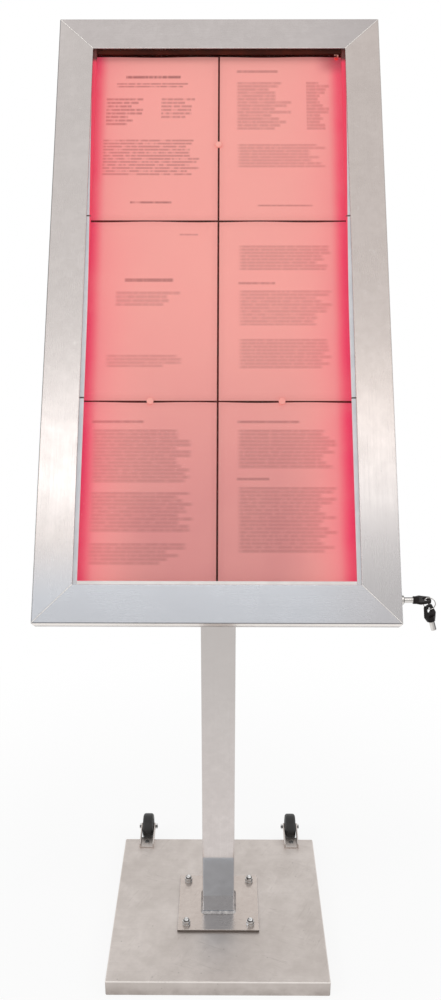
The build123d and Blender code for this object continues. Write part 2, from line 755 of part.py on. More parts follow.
# Spring clips: a foot on the back of the frame, a riser beside the pane and a tab over it
clip_riser = pane_cover + hole_clearance
clip_foot = clip_riser + clip_sheet + clip_foot_length
clip_tab = pane_cover - clip_sheet
clip_top = pane_back + clip_sheet
clip_rows = (-window_height / 3, 0, window_height / 3)
clip_outline = [(clip_foot, door_sheet), (clip_riser, door_sheet), (clip_riser, pane_back),
                (clip_riser - clip_tab, pane_back), (clip_riser - clip_tab, clip_top),
                (clip_riser + clip_sheet, clip_top), (clip_riser + clip_sheet, door_sheet + clip_sheet),
                (clip_foot, door_sheet + clip_sheet)]
with BuildPart() as pane_clips:
    for turn in (-1, 1):
        for row in clip_rows:
            with BuildSketch(cross_plane(row - clip_width / 2)):
                Polygon(*[(turn * (half_window + x), depth) for x, depth in clip_outline], align=None)
            extrude(amount=clip_width)
        for column in (-window_width / 4, window_width / 4):
            end_plane = Plane(origin=case_front + Vector(column + clip_width / 2, 0, 0),
                              x_dir=upslope, z_dir=(-1, 0, 0))
            with BuildSketch(end_plane):
                Polygon(*[(turn * (half_opening + x), depth) for x, depth in clip_outline], align=None)
            extrude(amount=clip_width)
save(pane_clips, "pane_clips")

# Rubber seal inside the returns; the right-hand run stops above the lock
seal_back = door_depth + door_gap - seat_clearance
seal_x = half_width - door_sheet - seal_section / 2
seal_y = half_height - door_sheet - seal_section / 2
seal_side = case_height - 2 * (door_sheet + seal_section)
lock_break = lock_height + lock_rim_diameter
with BuildPart() as door_seal:
    with BuildSketch(depth_plane(seal_back)):
        with GridLocations(0, 2 * seal_y, 1, 2):
            Rectangle(case_width - 2 * door_sheet, seal_section)
        with Locations((-seal_x, 0)):
            Rectangle(seal_section, seal_side)
        with Locations((seal_x, seal_side / 2)):
            Rectangle(seal_section, seal_side - lock_break, align=(Align.CENTER, Align.MAX))
    extrude(amount=seal_section)
save(door_seal, "door_seal")

# Butt hinges on the left side: the door leaf holds the middle knuckle, the housing leaf the outer two
hinge_x = -(half_width + seat_clearance + knuckle_diameter / 2)
hinge_depth = door_depth + door_gap / 2
hinge_pitch = (case_height - 2 * hinge_margin) / (hinge_count - 1)
hinge_rows = [(row - (hinge_count - 1) / 2) * hinge_pitch for row in range(hinge_count)]
knuckle_span = hinge_length / 3
leaf_clear = knuckle_diameter / 2 + seat_clearance
leaf_x = -(half_width + leaf_thickness / 2)


def hinge_leaf(start, length, plate_start, plate_length, facing):
    """One knuckle with its tab on a leaf plate; facing is -1 on the door and 1 on the housing."""
    with BuildSketch(cross_plane(start)) as knuckle:
        with Locations((hinge_x, hinge_depth)):
            Circle(knuckle_diameter / 2)
        with Locations((leaf_x, hinge_depth + facing * leaf_clear / 2)):
            Rectangle(leaf_thickness, leaf_clear)
    extrude(knuckle.sketch, amount=length)
    with BuildSketch(cross_plane(plate_start)) as plate:
        with Locations((leaf_x, hinge_depth + facing * (leaf_clear + leaf_width / 2))):
            Rectangle(leaf_thickness, leaf_width)
    extrude(plate.sketch, amount=plate_length)
    with BuildSketch(cross_plane(start)) as bore:
        with Locations((hinge_x, hinge_depth)):
            Circle(hinge_pin_diameter / 2 + slide_fit)
    extrude(bore.sketch, amount=length, mode=Mode.SUBTRACT)


with BuildPart() as hinge_leaves_door:
    for row in hinge_rows:
        hinge_leaf(row - knuckle_span / 2 + seat_clearance, knuckle_span - 2 * seat_clearance,
                   row - hinge_length / 2, hinge_length, -1)
save(hinge_leaves_door, "hinge_leaves_door")

with BuildPart() as hinge_leaves_housing:
    for row in hinge_rows:
        for start in (row - hinge_length / 2, row + knuckle_span / 2):
            hinge_leaf(start, knuckle_span, row - hinge_length / 2, hinge_length, 1)
save(hinge_leaves_housing, "hinge_leaves_housing")

with BuildPart() as hinge_pins:
    for row in hinge_rows:
        with BuildSketch(cross_plane(row - hinge_length / 2)):
            with Locations((hinge_x, hinge_depth)):
                Circle(hinge_pin_diameter / 2)
        extrude(amount=hinge_length)
save(hinge_pins, "hinge_pins")

# Cam lock through the right-hand return; its plane has x up the slope, y outward and z to the right
plug_collar = lock_plug_diameter + 2 * plug_lip
collar_height = lock_rim_height / 2
plug_front = lock_rim_height - assembly_clearance
plug_back = -lock_body_length - 4 * slide_fit
with BuildPart() as lock_body:
    with BuildSketch(lock_plane.offset(-lock_body_length)):
        Circle(lock_body_diameter / 2)
    extrude(amount=lock_body_length)
    with BuildSketch(lock_plane):
        Circle(lock_rim_diameter / 2)
    extrude(amount=lock_rim_height)
    chamfer(lock_body.edges().sort_by(Axis.X)[-1], lock_rim_height / 4)
    with BuildSketch(lock_plane.offset(-lock_body_length)):
        Circle(lock_plug_diameter / 2 + slide_fit)
    extrude(amount=lock_body_length + lock_rim_height, mode=Mode.SUBTRACT)
    with BuildSketch(lock_plane.offset(lock_rim_height - collar_height)):
        Circle(plug_collar / 2 + slide_fit)
    extrude(amount=collar_height, mode=Mode.SUBTRACT)
save(lock_body, "lock_body")

with BuildPart() as lock_nut:
    with BuildSketch(lock_plane.offset(-door_sheet)):
        RegularPolygon(lock_nut_flats / 2, 6, major_radius=False)
        Circle(lock_body_diameter / 2 + slide_fit, mode=Mode.SUBTRACT)
    extrude(amount=-lock_nut_height)
save(lock_nut, "lock_nut")

# Turning plug with a ring-shaped keyway in front and a square tail for the cam
keyway_outer = key_tube_diameter / 2 + 4 * slide_fit
keyway_inner = key_tube_diameter / 2 - key_tube_wall - 4 * slide_fit
keyway_floor = plug_front - key_insertion - seat_clearance
cam_screw_diameter = cam_square / 2
with BuildPart() as lock_plug:
    with BuildSketch(lock_plane.offset(plug_back)):
        Circle(lock_plug_diameter / 2)
    extrude(amount=plug_front - plug_back)
    with BuildSketch(lock_plane.offset(lock_rim_height - collar_height + slide_fit)):
        Circle(plug_collar / 2)
    extrude(amount=plug_front - lock_rim_height + collar_height - slide_fit)
    with BuildSketch(lock_plane.offset(keyway_floor)):
        Circle(keyway_outer)
        Circle(keyway_inner, mode=Mode.SUBTRACT)
    extrude(amount=plug_front - keyway_floor, mode=Mode.SUBTRACT)
    with BuildSketch(lock_plane.offset(plug_back)):
        Rectangle(cam_square, cam_square)
    extrude(amount=-cam_thickness)
    with BuildSketch(lock_plane.offset(plug_back - cam_thickness)):
        Circle(cam_screw_diameter / 2 + slide_fit)
    extrude(amount=lock_body_length / 2, mode=Mode.SUBTRACT)
save(lock_plug, "lock_plug")

# Hooked cam: at rest it points down the slope, and its finger stays inside the door's depth
with BuildPart() as lock_cam:
    with BuildSketch(lock_plane.offset(plug_back)):
        Circle(cam_width / 2 + cam_thickness / 2)
        Rectangle(cam_reach + cam_finger_thickness, cam_width, align=(Align.MAX, Align.CENTER))
        with Locations((-cam_reach, 0)):
            Rectangle(cam_finger_thickness, cam_finger, align=(Align.MAX, Align.MAX))
        Rectangle(cam_square + 2 * slide_fit, cam_square + 2 * slide_fit, mode=Mode.SUBTRACT)
    extrude(amount=-cam_thickness)
save(lock_cam, "lock_cam")

cam_back = plug_back - cam_thickness
with BuildPart() as cam_screw:
    with BuildSketch(lock_plane.offset(cam_back)):
        Circle(cam_screw_head / 2)
    extrude(amount=-cam_screw_diameter * screw_head_share)
    with BuildSketch(lock_plane.offset(cam_back)):
        Circle(cam_screw_diameter / 2)
    extrude(amount=lock_body_length / 2 - seat_clearance)
save(cam_screw, "cam_screw")

# Strike plate under the housing rim, which the turned cam hooks behind
strike_low = cam_width / 2 + 2 * hole_clearance
strike_inner = half_width + cam_back - 3 * cam_thickness
strike_outer = half_width - housing_sheet
with BuildPart() as strike_plate:
    with BuildSketch(depth_plane(rim_back + strike_thickness)):
        with Locations(((strike_inner + strike_outer) / 2, lock_y + strike_low + strike_length / 2)):
            Rectangle(strike_outer - strike_inner, strike_length)
    extrude(amount=strike_thickness)
save(strike_plate, "strike_plate")

# Keys: a steel tube gripped in a flat plastic bow with a round hole at its end
hole_inset = bow_bar + bow_hole_diameter / 2
bow_outline = [(0, -bow_end_width / 2), (bow_shoulder, -bow_width / 2),
               (bow_length, -bow_end_width / 2), (bow_length, bow_end_width / 2),
               (bow_shoulder, bow_width / 2), (0, bow_end_width / 2)]


def key_bow_solid(plane):
    """A bow in a plane whose x runs from the tube to the bow's end and whose z is the bow's normal."""
    with BuildSketch(plane.offset(-bow_thickness / 2)) as outline:
        Polygon(*bow_outline, align=None)
        fillet(outline.vertices(), bow_round)
        with Locations((bow_length - hole_inset, 0)):
            Circle(bow_hole_diameter / 2, mode=Mode.SUBTRACT)
    extrude(outline.sketch, amount=bow_thickness)
    tube_plane = Plane(origin=plane.origin, x_dir=plane.z_dir, z_dir=plane.x_dir)
    with BuildSketch(tube_plane) as collar:
        Circle(key_tube_diameter / 2 + bow_collar)
    extrude(collar.sketch, amount=key_grip + bow_collar)
    with BuildSketch(tube_plane) as socket:
        Circle(key_tube_diameter / 2)
    extrude(socket.sketch, amount=key_grip, mode=Mode.SUBTRACT)


def key_tube_solid(plane, length):
    """The key's tube, from its grip in the bow out to its free end."""
    grip_end = plane.origin + plane.x_dir * key_grip
    with BuildSketch(Plane(origin=grip_end, x_dir=plane.z_dir, z_dir=-plane.x_dir)) as tube:
        Circle(key_tube_diameter / 2)
        Circle(key_tube_diameter / 2 - key_tube_wall, mode=Mode.SUBTRACT)
    extrude(tube.sketch, amount=key_grip + length)


rise = radians(bow_rise)
bow_start = lock_origin + Vector(lock_rim_height + key_show, 0, 0)
bow_plane = Plane(origin=bow_start, x_dir=(1, 0, 0), z_dir=(0, -cos(rise), sin(rise)))
key_tube_length = lock_rim_height + key_show - plug_front + key_insertion
with BuildPart() as key_bow:
    key_bow_solid(bow_plane)
save(key_bow, "key_bow")

with BuildPart() as key_tube:
    key_tube_solid(bow_plane, key_tube_length)
save(key_tube, "key_tube")

# Key ring: hangs over the bar at the end of the bow
ring_drop = bow_thickness / 2 + ring_rest + ring_wire / 2 - ring_radius
ring_centre = bow_start + Vector(bow_length - bow_bar / 2, 0, ring_drop)
ring_across = Vector(cos(radians(ring_turn)), -sin(radians(ring_turn)), 0)
ring_normal = Vector(sin(radians(ring_turn)), cos(radians(ring_turn)), 0)
with BuildPart() as key_ring:
    with BuildSketch(Plane(origin=ring_centre, x_dir=ring_across, z_dir=(0, 0, 1))):
        with Locations((ring_radius, 0)):
            Circle(ring_wire / 2)
    revolve(axis=Axis(ring_centre, ring_normal))
save(key_ring, "key_ring")

# Spare key: hangs by its hole on the foot of the ring
lean = radians(spare_lean)
turned = radians(spare_turn)
spare_up = Vector(-sin(lean), 0, cos(lean))
spare_normal = Vector(sin(turned) * cos(lean), -cos(turned), sin(turned) * sin(lean))
spare_hole = ring_centre - Vector(0, 0, ring_radius + bow_hole_diameter / 2 - ring_wire / 2 - spare_rest)
spare_plane = Plane(origin=spare_hole - spare_up * (bow_length - hole_inset), x_dir=spare_up,
                    z_dir=spare_normal)
with BuildPart() as spare_key_bow:
    key_bow_solid(spare_plane)
save(spare_key_bow, "spare_key_bow")

with BuildPart() as spare_key_tube:
    key_tube_solid(spare_plane, spare_tube_length)
save(spare_key_tube, "spare_key_tube")
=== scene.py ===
"""Menu display case: finishes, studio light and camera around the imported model."""
from math import cos, radians, sin, tau

import bmesh
import bpy
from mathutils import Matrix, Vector


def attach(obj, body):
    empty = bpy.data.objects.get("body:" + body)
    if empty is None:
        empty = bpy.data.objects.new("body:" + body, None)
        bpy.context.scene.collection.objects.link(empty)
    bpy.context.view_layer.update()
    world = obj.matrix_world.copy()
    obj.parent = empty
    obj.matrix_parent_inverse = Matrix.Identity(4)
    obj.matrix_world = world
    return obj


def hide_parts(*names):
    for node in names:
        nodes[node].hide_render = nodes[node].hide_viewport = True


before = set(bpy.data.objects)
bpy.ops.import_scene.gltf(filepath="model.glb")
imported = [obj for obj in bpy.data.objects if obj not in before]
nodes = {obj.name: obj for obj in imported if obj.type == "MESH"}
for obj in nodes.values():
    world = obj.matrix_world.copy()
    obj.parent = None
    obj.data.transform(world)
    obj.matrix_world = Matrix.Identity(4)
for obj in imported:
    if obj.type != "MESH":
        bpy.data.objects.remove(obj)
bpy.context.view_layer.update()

# The tilted case, in metres: its slope, the middle of the door's front face and its sizes
CASE_TILT = radians(34.6)
CASE_DEPTH = 0.0304
CASE_DROP = 0.0338
POST_HEAD_HEIGHT = 1.2048
OUTWARD = Vector((0.0, -cos(CASE_TILT), sin(CASE_TILT)))
UPSLOPE = Vector((0.0, sin(CASE_TILT), cos(CASE_TILT)))
CASE_FRONT = Vector((0.0, 0.0, POST_HEAD_HEIGHT)) + OUTWARD * CASE_DEPTH - UPSLOPE * CASE_DROP
CASE_WIDTH = 0.514
CASE_HEIGHT = 0.986
WINDOW_WIDTH = 0.404
BEAD_WIDTH = 0.006
FACE_SKIN = 0.0009

# The sheets of paper, in metres: their places on the board, trim, thickness, wave and uneven top edge
SHEET_WIDTH = 0.210
SHEET_LENGTH = 0.297
SHEET_GAP = 0.0015
SHEET_TOP = 0.438
SHEET_DEPTH = 0.0201
FIELD_WIDTH = 2 * SHEET_WIDTH + SHEET_GAP
PAPER_TRIM = 0.0007
PAPER_WIDTH = SHEET_WIDTH - 2 * PAPER_TRIM
PAPER_LENGTH = SHEET_LENGTH - 2 * PAPER_TRIM
PAPER_THICKNESS = 0.00015
PAPER_WAVE = 0.00012
PAPER_UNEVEN = 0.0006

# The side lamps, in metres: how far the red light painted inside the case reaches, close by and wide, how
# much nearer the right-hand lamp is, where the painted light fades, up the slope and in from a lamp, and the
# lamps' spacing
GLOW_NEAR = 0.021
GLOW_WIDE = 0.036
RIGHT_LAMP_LEAD = 0.003
FADE_UP = (0.06, -0.46)
FADE_IN = (0.01, 0.11)
LAMP_SPACING = 0.025

# Where painted light, shade and reflection, and the base's floor dirt, start to change and where the change
# is full, in metres:
# heights on the post and the base, then places across the case and up its slope, and the distance from a
# painted gap reflection
POST_DIM_RISE = (0.2, 0.66)
POST_FOOT_REFLECTION_DROP = (0.166, 0.160)
SPLASH_DROP = (0.024, 0.002)
RIGHT_DIM_ACROSS = (0.1, 0.25)
DOOR_FOOT_UP = -0.47
CORNER_ACROSS, CORNER_UP = (0.15, 0.182), (0.4, 0.424)
PAPER_ROSE_UP = (0.3, -0.4)
HOOK_TIP_UP = (SHEET_TOP + 0.002, SHEET_TOP - 0.005)
BEAD_RED_UP = (0.43, -0.05)
BEAD_TOP_UP = (0.414, 0.424)
BEAD_GAP_REFLECTION_OFF = (0.0016, 0.0008)

# Small detail: counts in a metre, and lengths in metres
SPECKS_PER_METRE = 42.0
WORDS_PER_METRE = 150.0
WELD_RIPPLE = 0.0022
WELD_DEPTH = 0.0004
GRAIN_DEPTH = 0.0002
MM = 0.001

FORWARD, RIGHTWARD, UPWARD = (0, -1, 0), (1, 0, 0), (0, 0, 1)


def tint(red, green, blue):
    """A colour as it looks on a screen, 0 to 255, as the shader's linear colour."""
    shares = [value / 255 for value in (red, green, blue)]
    return [s / 12.92 if s < 0.04045 else ((s + 0.055) / 1.055) ** 2.4 for s in shares] + [1.0]


# Steel of each member, pale and dark; the four door members are one steel, toned apart as painted reflection
LEFT_PALE, LEFT_DARK = tint(207, 200, 197), tint(187, 180, 177)
RIGHT_PALE, RIGHT_DARK = tint(203, 193, 188), tint(183, 173, 168)
TOP_PALE, TOP_DARK = tint(202, 195, 193), tint(182, 175, 173)
BOTTOM_PALE, BOTTOM_DARK = tint(198, 201, 206), tint(178, 181, 186)
HOUSING_PALE, HOUSING_DARK = tint(204, 198, 195), tint(186, 180, 177)
POST_PALE, POST_DARK = tint(218, 210, 207), tint(196, 188, 185)
FLANGE_PALE, FLANGE_DARK = tint(207, 196, 189), tint(181, 170, 163)
BASE_PALE, BASE_DARK = tint(215, 207, 202), tint(176, 167, 161)

# Painted reflection and shade on the steel: cooler or darker reflection by the floor, shade towards the right
# and under the case, and light on the lit returns
COOL_FOOT_REFLECTION = tint(190, 192, 197)
RIGHT_STILE_FOOT_REFLECTION = tint(174, 171, 171)
BOTTOM_RAIL_FOOT_REFLECTION = tint(186, 188, 193)
RIGHT_DIM = tint(172, 166, 165)
LIT_RETURN = tint(238, 229, 222)
POST_DIM = tint(187, 182, 179)
POST_FOOT_REFLECTION = tint(182, 189, 197)

# Marks of metal, and light painted on it: highlights on bends and worn edges, shade along folds and cut
# edges, dark reflections
SCUFF_PALE = tint(222, 218, 216)
SPECK_DARK = tint(96, 90, 86)
BEND_HIGHLIGHT = tint(238, 237, 236)
BASE_BEND_HIGHLIGHT = tint(238, 233, 228)
FOLD_SHADE = tint(84, 82, 82)
SEAM_FLANK = tint(140, 138, 138)
SEAM_BRIGHT = tint(246, 240, 234)
CUT_EDGE_SHADE = tint(112, 106, 102)
SCRATCH_DARK = tint(150, 140, 134)
FLOOR_DIRT = tint(142, 132, 126)
REFLECTION_DARK = tint(48, 45, 45)
EDGE_WEAR_AND_HIGHLIGHT = tint(245, 244, 242)
WELD_PALE, WELD_DARK, WELD_GROOVE = tint(206, 202, 199), tint(128, 126, 128), tint(108, 106, 110)

# Paper with the lamps' red light, its fading and a corner shadow painted on, the share of its colour that
# outside light brings out (the rest a painted glow), and print
PAPER_LIT = tint(252, 170, 162)
PAPER_ROSE_LIGHT = tint(252, 80, 118)
PAPER_RED_LIGHT = tint(254, 40, 100)
PAPER_DIM = tint(200, 132, 133)
PAPER_CORNER_SHADOW = tint(186, 84, 94)
PAPER_CLOUD = tint(250, 182, 168)
PAPER_FIBRE = tint(226, 140, 132)
PAPER_MATT = (0.52, 0.52, 0.52, 1.0)
INK_DARK, INK_IN_RED_LIGHT = tint(66, 40, 44), tint(190, 30, 44)
SHARP_PRINT, SOFT_PRINT = 0.25, 1.0

# Beads, hook and lamps; the red of beads and hook is painted lamp light and glow, the beads' dark lines
# painted gap reflections, their top end painted shade
BEAD_PALE, BEAD_GREY = tint(226, 228, 232), tint(216, 219, 224)
BEAD_RED_LIGHT, BEAD_GLOW = tint(226, 56, 86), tint(240, 56, 88)
BEAD_GAP_REFLECTION, BEAD_TOP_SHADE = tint(70, 60, 58), tint(96, 32, 26)
HOOK_PALE, HOOK_DRIFT, HOOK_RED_LIGHT = tint(252, 204, 190), tint(246, 190, 172), tint(240, 66, 66)
LAMP_DEEP, LAMP_BRIGHT = tint(214, 26, 60), tint(255, 96, 120)
UNLIT = (0.0, 0.0, 0.0, 1.0)


class Wiring:
    """Adds nodes to one shader tree and joins them."""

    def __init__(self, tree):
        self.tree = tree

    def feed(self, socket, value):
        """Joins a socket to an output, or sets its plain value."""
        if isinstance(value, bpy.types.NodeSocket):
            self.tree.links.new(value, socket)
        else:
            socket.default_value = value

    def add(self, kind, inputs=None, **settings):
        node = self.tree.nodes.new(kind)
        for name, value in settings.items():
            setattr(node, name, value)
        for key, value in (inputs or {}).items():
            self.feed(node.inputs[key], value)
        return node

    def point(self):
        """Object coordinates, which are the frame's own, in metres."""
        return self.add("ShaderNodeTexCoord").outputs["Object"]

    def axes(self):
        """The same coordinates as X, Y and Z."""
        return self.add("ShaderNodeSeparateXYZ", {0: self.point()}).outputs

    def calc(self, operation, *values):
        node = self.add("ShaderNodeMath", operation=operation)
        for socket, value in zip(node.inputs, values):
            self.feed(socket, value)
        return node.outputs[0]

    def invert(self, mask):
        return self.calc("SUBTRACT", 1.0, mask)

    def distance(self, value, middle):
        return self.calc("ABSOLUTE", self.calc("SUBTRACT", value, middle))

    def vector(self, operation, *values):
        node = self.add("ShaderNodeVectorMath", operation=operation)
        for socket, value in zip(node.inputs, values):
            self.feed(socket, value)
        return node.outputs["Value" if operation in ("DOT_PRODUCT", "LENGTH") else "Vector"]

    def blend(self, share, first, second, mode="MIX"):
        """Two colours mixed: the first at share 0, the second at share 1."""
        node = self.add("ShaderNodeMix", data_type="RGBA", blend_type=mode)
        for index, value in ((0, share), (6, first), (7, second)):
            self.feed(node.inputs[index], value)
        return node.outputs[2]

    def wash(self, colour, over, mask, strength):
        """A second colour laid over the first where the mask shows, at a strength."""
        return self.blend(self.calc("MULTIPLY", mask, strength), colour, over)

    def spread(self, value, low, high, to_low=0.0, to_high=1.0):
        """A smooth change from one value at low to another at high."""
        node = self.add("ShaderNodeMapRange", interpolation_type="SMOOTHSTEP")
        for socket, number in zip(node.inputs, (value, low, high, to_low, to_high)):
            self.feed(socket, number)
        return node.outputs[0]

    def noise(self, vector, scale, detail=2.0, rough=0.5, twist=0.0):
        inputs = {"Vector": vector, "Scale": scale, "Detail": detail, "Roughness": rough, "Distortion": twist}
        return self.add("ShaderNodeTexNoise", inputs).outputs[0]

    def bump(self, height, strength, normal=None, depth=GRAIN_DEPTH):
        inputs = {"Strength": strength, "Distance": depth, "Height": height}
        if normal is not None:
            inputs["Normal"] = normal
        return self.add("ShaderNodeBump", inputs).outputs[0]

    def group(self, tree, **inputs):
        node = self.add("ShaderNodeGroup", node_tree=tree)
        for key, value in inputs.items():
            self.feed(node.inputs[key.replace("_", " ")], value)
        return node.outputs


def empty_wiring(owner):
    """The wiring of a material or world that starts without any nodes."""
    owner.use_nodes = True
    owner.node_tree.nodes.clear()
    return Wiring(owner.node_tree)


def in_scene(name, data):
    """A new object that holds the data, linked to the scene."""
    holder = bpy.data.objects.new(name, data)
    bpy.context.scene.collection.objects.link(holder)
    return holder


SOCKETS = {"value": "NodeSocketFloat", "vector": "NodeSocketVector"}


def shader_group(name, inputs, outputs):
    """A node group with named sockets: its wiring, its inputs and its outputs."""
    tree = bpy.data.node_groups.new(name, "ShaderNodeTree")
    for label, kind, value in inputs:
        socket = tree.interface.new_socket(label, in_out="INPUT", socket_type=SOCKETS[kind])
        if value is not None:
            socket.default_value = value
    for label, kind in outputs:
        tree.interface.new_socket(label, in_out="OUTPUT", socket_type=SOCKETS[kind])
    wiring = Wiring(tree)
    return wiring, wiring.add("NodeGroupInput").outputs, wiring.add("NodeGroupOutput").inputs


def case_place_group():
    """Where a point lies on the tilted case: across, up the slope and out of the door's face."""
    w, _, out = shader_group("case_place", [], [("Across", "value"), ("Up", "value"), ("Out", "value")])
    offset = w.vector("SUBTRACT", w.point(), CASE_FRONT)
    for label, direction in (("Across", RIGHTWARD), ("Up", UPSLOPE), ("Out", OUTWARD)):
        w.feed(out[label], w.vector("DOT_PRODUCT", offset, direction))
    return w.tree


def brushed_grain_group():
    """Fine drawn lines along the vector's x, in two widths."""
    w, into, out = shader_group(
        "brushed_grain",
        [("Vector", "vector", None), ("Along", "value", 5.0), ("Across", "value", 650.0)],
        [("Grain", "value"), ("Height", "value")])
    stretch = w.add("ShaderNodeCombineXYZ", {"X": into["Along"], "Y": into["Across"], "Z": into["Across"]})
    drawn = w.vector("MULTIPLY", into["Vector"], stretch.outputs[0])
    broad = w.noise(drawn, 1.0, 3.0, 0.6)
    fine = w.noise(drawn, 3.7, 2.0, 0.5)
    grain = w.calc("ADD", w.calc("MULTIPLY", broad, 0.6), w.calc("MULTIPLY", fine, 0.4))
    w.feed(out["Grain"], w.spread(grain, 0.3, 0.7))
    w.feed(out["Height"], grain)
    return w.tree


def handling_smudge_group():
    """Cloudy hand marks, small scuffs and specks."""
    w, into, out = shader_group(
        "handling_smudge",
        [("Vector", "vector", None), ("Size", "value", 0.08)],
        [("Cloud", "value"), ("Scuff", "value"), ("Speck", "value")])
    scale = w.calc("DIVIDE", 1.0, into["Size"])
    cloud = w.noise(into["Vector"], scale, 6.0, 0.62, 0.3)
    scuff = w.noise(into["Vector"], w.calc("MULTIPLY", scale, 9.0), 3.0, 0.6, 1.2)
    cells = w.add("ShaderNodeTexVoronoi", {"Vector": into["Vector"], "Scale": SPECKS_PER_METRE})
    w.feed(out["Cloud"], w.spread(cloud, 0.25, 0.75))
    w.feed(out["Scuff"], w.spread(scuff, 0.62, 0.74))
    w.feed(out["Speck"], w.invert(w.spread(cells.outputs["Distance"], 0.03, 0.07)))
    return w.tree


def fine_scratch_group():
    """Sparse hairline scratches that run in two directions over a level surface."""
    w, into, out = shader_group(
        "fine_scratch", [("Vector", "vector", None), ("Sparse", "value", 0.5)], [("Scratch", "value")])
    total = 0.0
    for turn, stretch in ((radians(24), (6.0, 240.0, 1.0)), (radians(-62), (9.0, 300.0, 1.0))):
        inputs = {"Vector": into["Vector"], "Angle": turn}
        turned = w.add("ShaderNodeVectorRotate", inputs, rotation_type="Z_AXIS").outputs[0]
        drawn = w.noise(w.vector("MULTIPLY", turned, stretch), 1.0, 1.0)
        line = w.spread(w.distance(drawn, 0.5), 0.012, 0.004)
        patch = w.noise(turned, 17.0, 2.0)
        some = w.spread(patch, into["Sparse"], w.calc("ADD", into["Sparse"], 0.1))
        total = w.calc("MAXIMUM", total, w.calc("MULTIPLY", line, some))
    w.feed(out["Scratch"], total)
    return w.tree


def edge_wear_and_highlight_group():
    """A mask on the edges, broken up along them, for wear and painted highlight, and the softened normal."""
    w, into, out = shader_group(
        "edge_wear_and_highlight",
        [("Vector", "vector", None), ("Radius", "value", 0.001)],
        [("Wear And Highlight", "value"), ("Soft Normal", "vector")])
    soft = w.add("ShaderNodeBevel", {"Radius": into["Radius"]}, samples=4).outputs[0]
    sharp = w.add("ShaderNodeNewGeometry").outputs["Normal"]
    turn = w.invert(w.vector("DOT_PRODUCT", soft, sharp))
    patchy = w.noise(into["Vector"], 160.0, 2.0)
    w.feed(out["Wear And Highlight"], w.calc("MULTIPLY", w.spread(turn, 0.01, 0.2), w.spread(patchy, 0.3, 0.6)))
    w.feed(out["Soft Normal"], soft)
    return w.tree


def moulded_grain_group():
    """The fine pebbled grain and slight colour drift of moulded plastic and rubber."""
    w, into, out = shader_group(
        "moulded_grain",
        [("Vector", "vector", None), ("Size", "value", 0.0008)],
        [("Drift", "value"), ("Height", "value")])
    scale = w.calc("DIVIDE", 1.0, into["Size"])
    cells = w.add("ShaderNodeTexVoronoi", {"Vector": into["Vector"], "Scale": scale}, feature="SMOOTH_F1")
    drift = w.noise(into["Vector"], w.calc("MULTIPLY", scale, 0.04), 3.0)
    w.feed(out["Drift"], w.spread(drift, 0.35, 0.65))
    w.feed(out["Height"], cells.outputs["Distance"])
    return w.tree


def door_edges(w, into):
    """How far in a point of the door lies from its nearer side and its nearer end."""
    side = w.calc("SUBTRACT", CASE_WIDTH / 2, w.calc("ABSOLUTE", into["Across"]))
    end = w.calc("SUBTRACT", CASE_HEIGHT / 2, w.calc("ABSOLUTE", into["Up"]))
    return side, end


def mitre_seam_group():
    """A thin line on the mitred corners of the door frame."""
    w, into, out = shader_group(
        "mitre_seam",
        [("Across", "value", 0.0), ("Up", "value", 0.0), ("Half Width", "value", 0.0002)],
        [("Seam", "value")])
    away = w.distance(*door_edges(w, into))
    faded = w.calc("MULTIPLY", into["Half Width"], 3.5)
    w.feed(out["Seam"], w.invert(w.spread(away, into["Half Width"], faded)))
    return w.tree


def bend_shade_group():
    """A soft line of painted shade where the door's face turns into its outer returns, and a mask on that
    face.
    """
    w, into, out = shader_group(
        "bend_shade",
        [("Across", "value", 0.0), ("Up", "value", 0.0), ("Out", "value", 0.0), ("Width", "value", 0.0018)],
        [("Shade", "value"), ("Face", "value")])
    away = w.calc("MINIMUM", *door_edges(w, into))
    line = w.invert(w.spread(away, w.calc("MULTIPLY", into["Width"], 0.4), into["Width"]))
    face = w.calc("GREATER_THAN", into["Out"], -FACE_SKIN)
    w.feed(out["Shade"], w.calc("MULTIPLY", line, face))
    w.feed(out["Face"], face)
    return w.tree


def facing_band_group():
    """A mask on faces by the share of a direction in their normal: 1 for full on, 0 for square to it."""
    w, into, out = shader_group(
        "facing_band",
        [("Direction", "vector", UPWARD), ("Share", "value", 0.0),
         ("Inner", "value", 0.1), ("Outer", "value", 0.2)],
        [("Band", "value")])
    normal = w.add("ShaderNodeNewGeometry").outputs["Normal"]
    away = w.distance(w.vector("DOT_PRODUCT", normal, into["Direction"]), into["Share"])
    w.feed(out["Band"], w.invert(w.spread(away, into["Inner"], into["Outer"])))
    return w.tree


def lamp_glow_group():
    """Masks for the side lamps' red light as painted inside the case: how much reaches a point, and where it
    fades.
    """
    w, into, out = shader_group(
        "lamp_glow", [("Across", "value", 0.0), ("Up", "value", 0.0)],
        [("Near", "value"), ("Wide", "value"), ("Fall", "value")])
    away = w.calc("SUBTRACT", WINDOW_WIDTH / 2 - BEAD_WIDTH, w.calc("ABSOLUTE", into["Across"]))
    right_hand = w.calc("GREATER_THAN", into["Across"], 0.0)
    away = w.calc("SUBTRACT", away, w.calc("MULTIPLY", right_hand, RIGHT_LAMP_LEAD))
    w.feed(out["Near"], w.spread(away, GLOW_NEAR, -0.001))
    w.feed(out["Wide"], w.calc("MINIMUM", 1.0, w.calc("EXPONENT", w.calc("DIVIDE", away, -GLOW_WIDE))))
    w.feed(out["Fall"], w.calc("MULTIPLY", w.spread(into["Up"], *FADE_UP), w.spread(away, *FADE_IN)))
    return w.tree


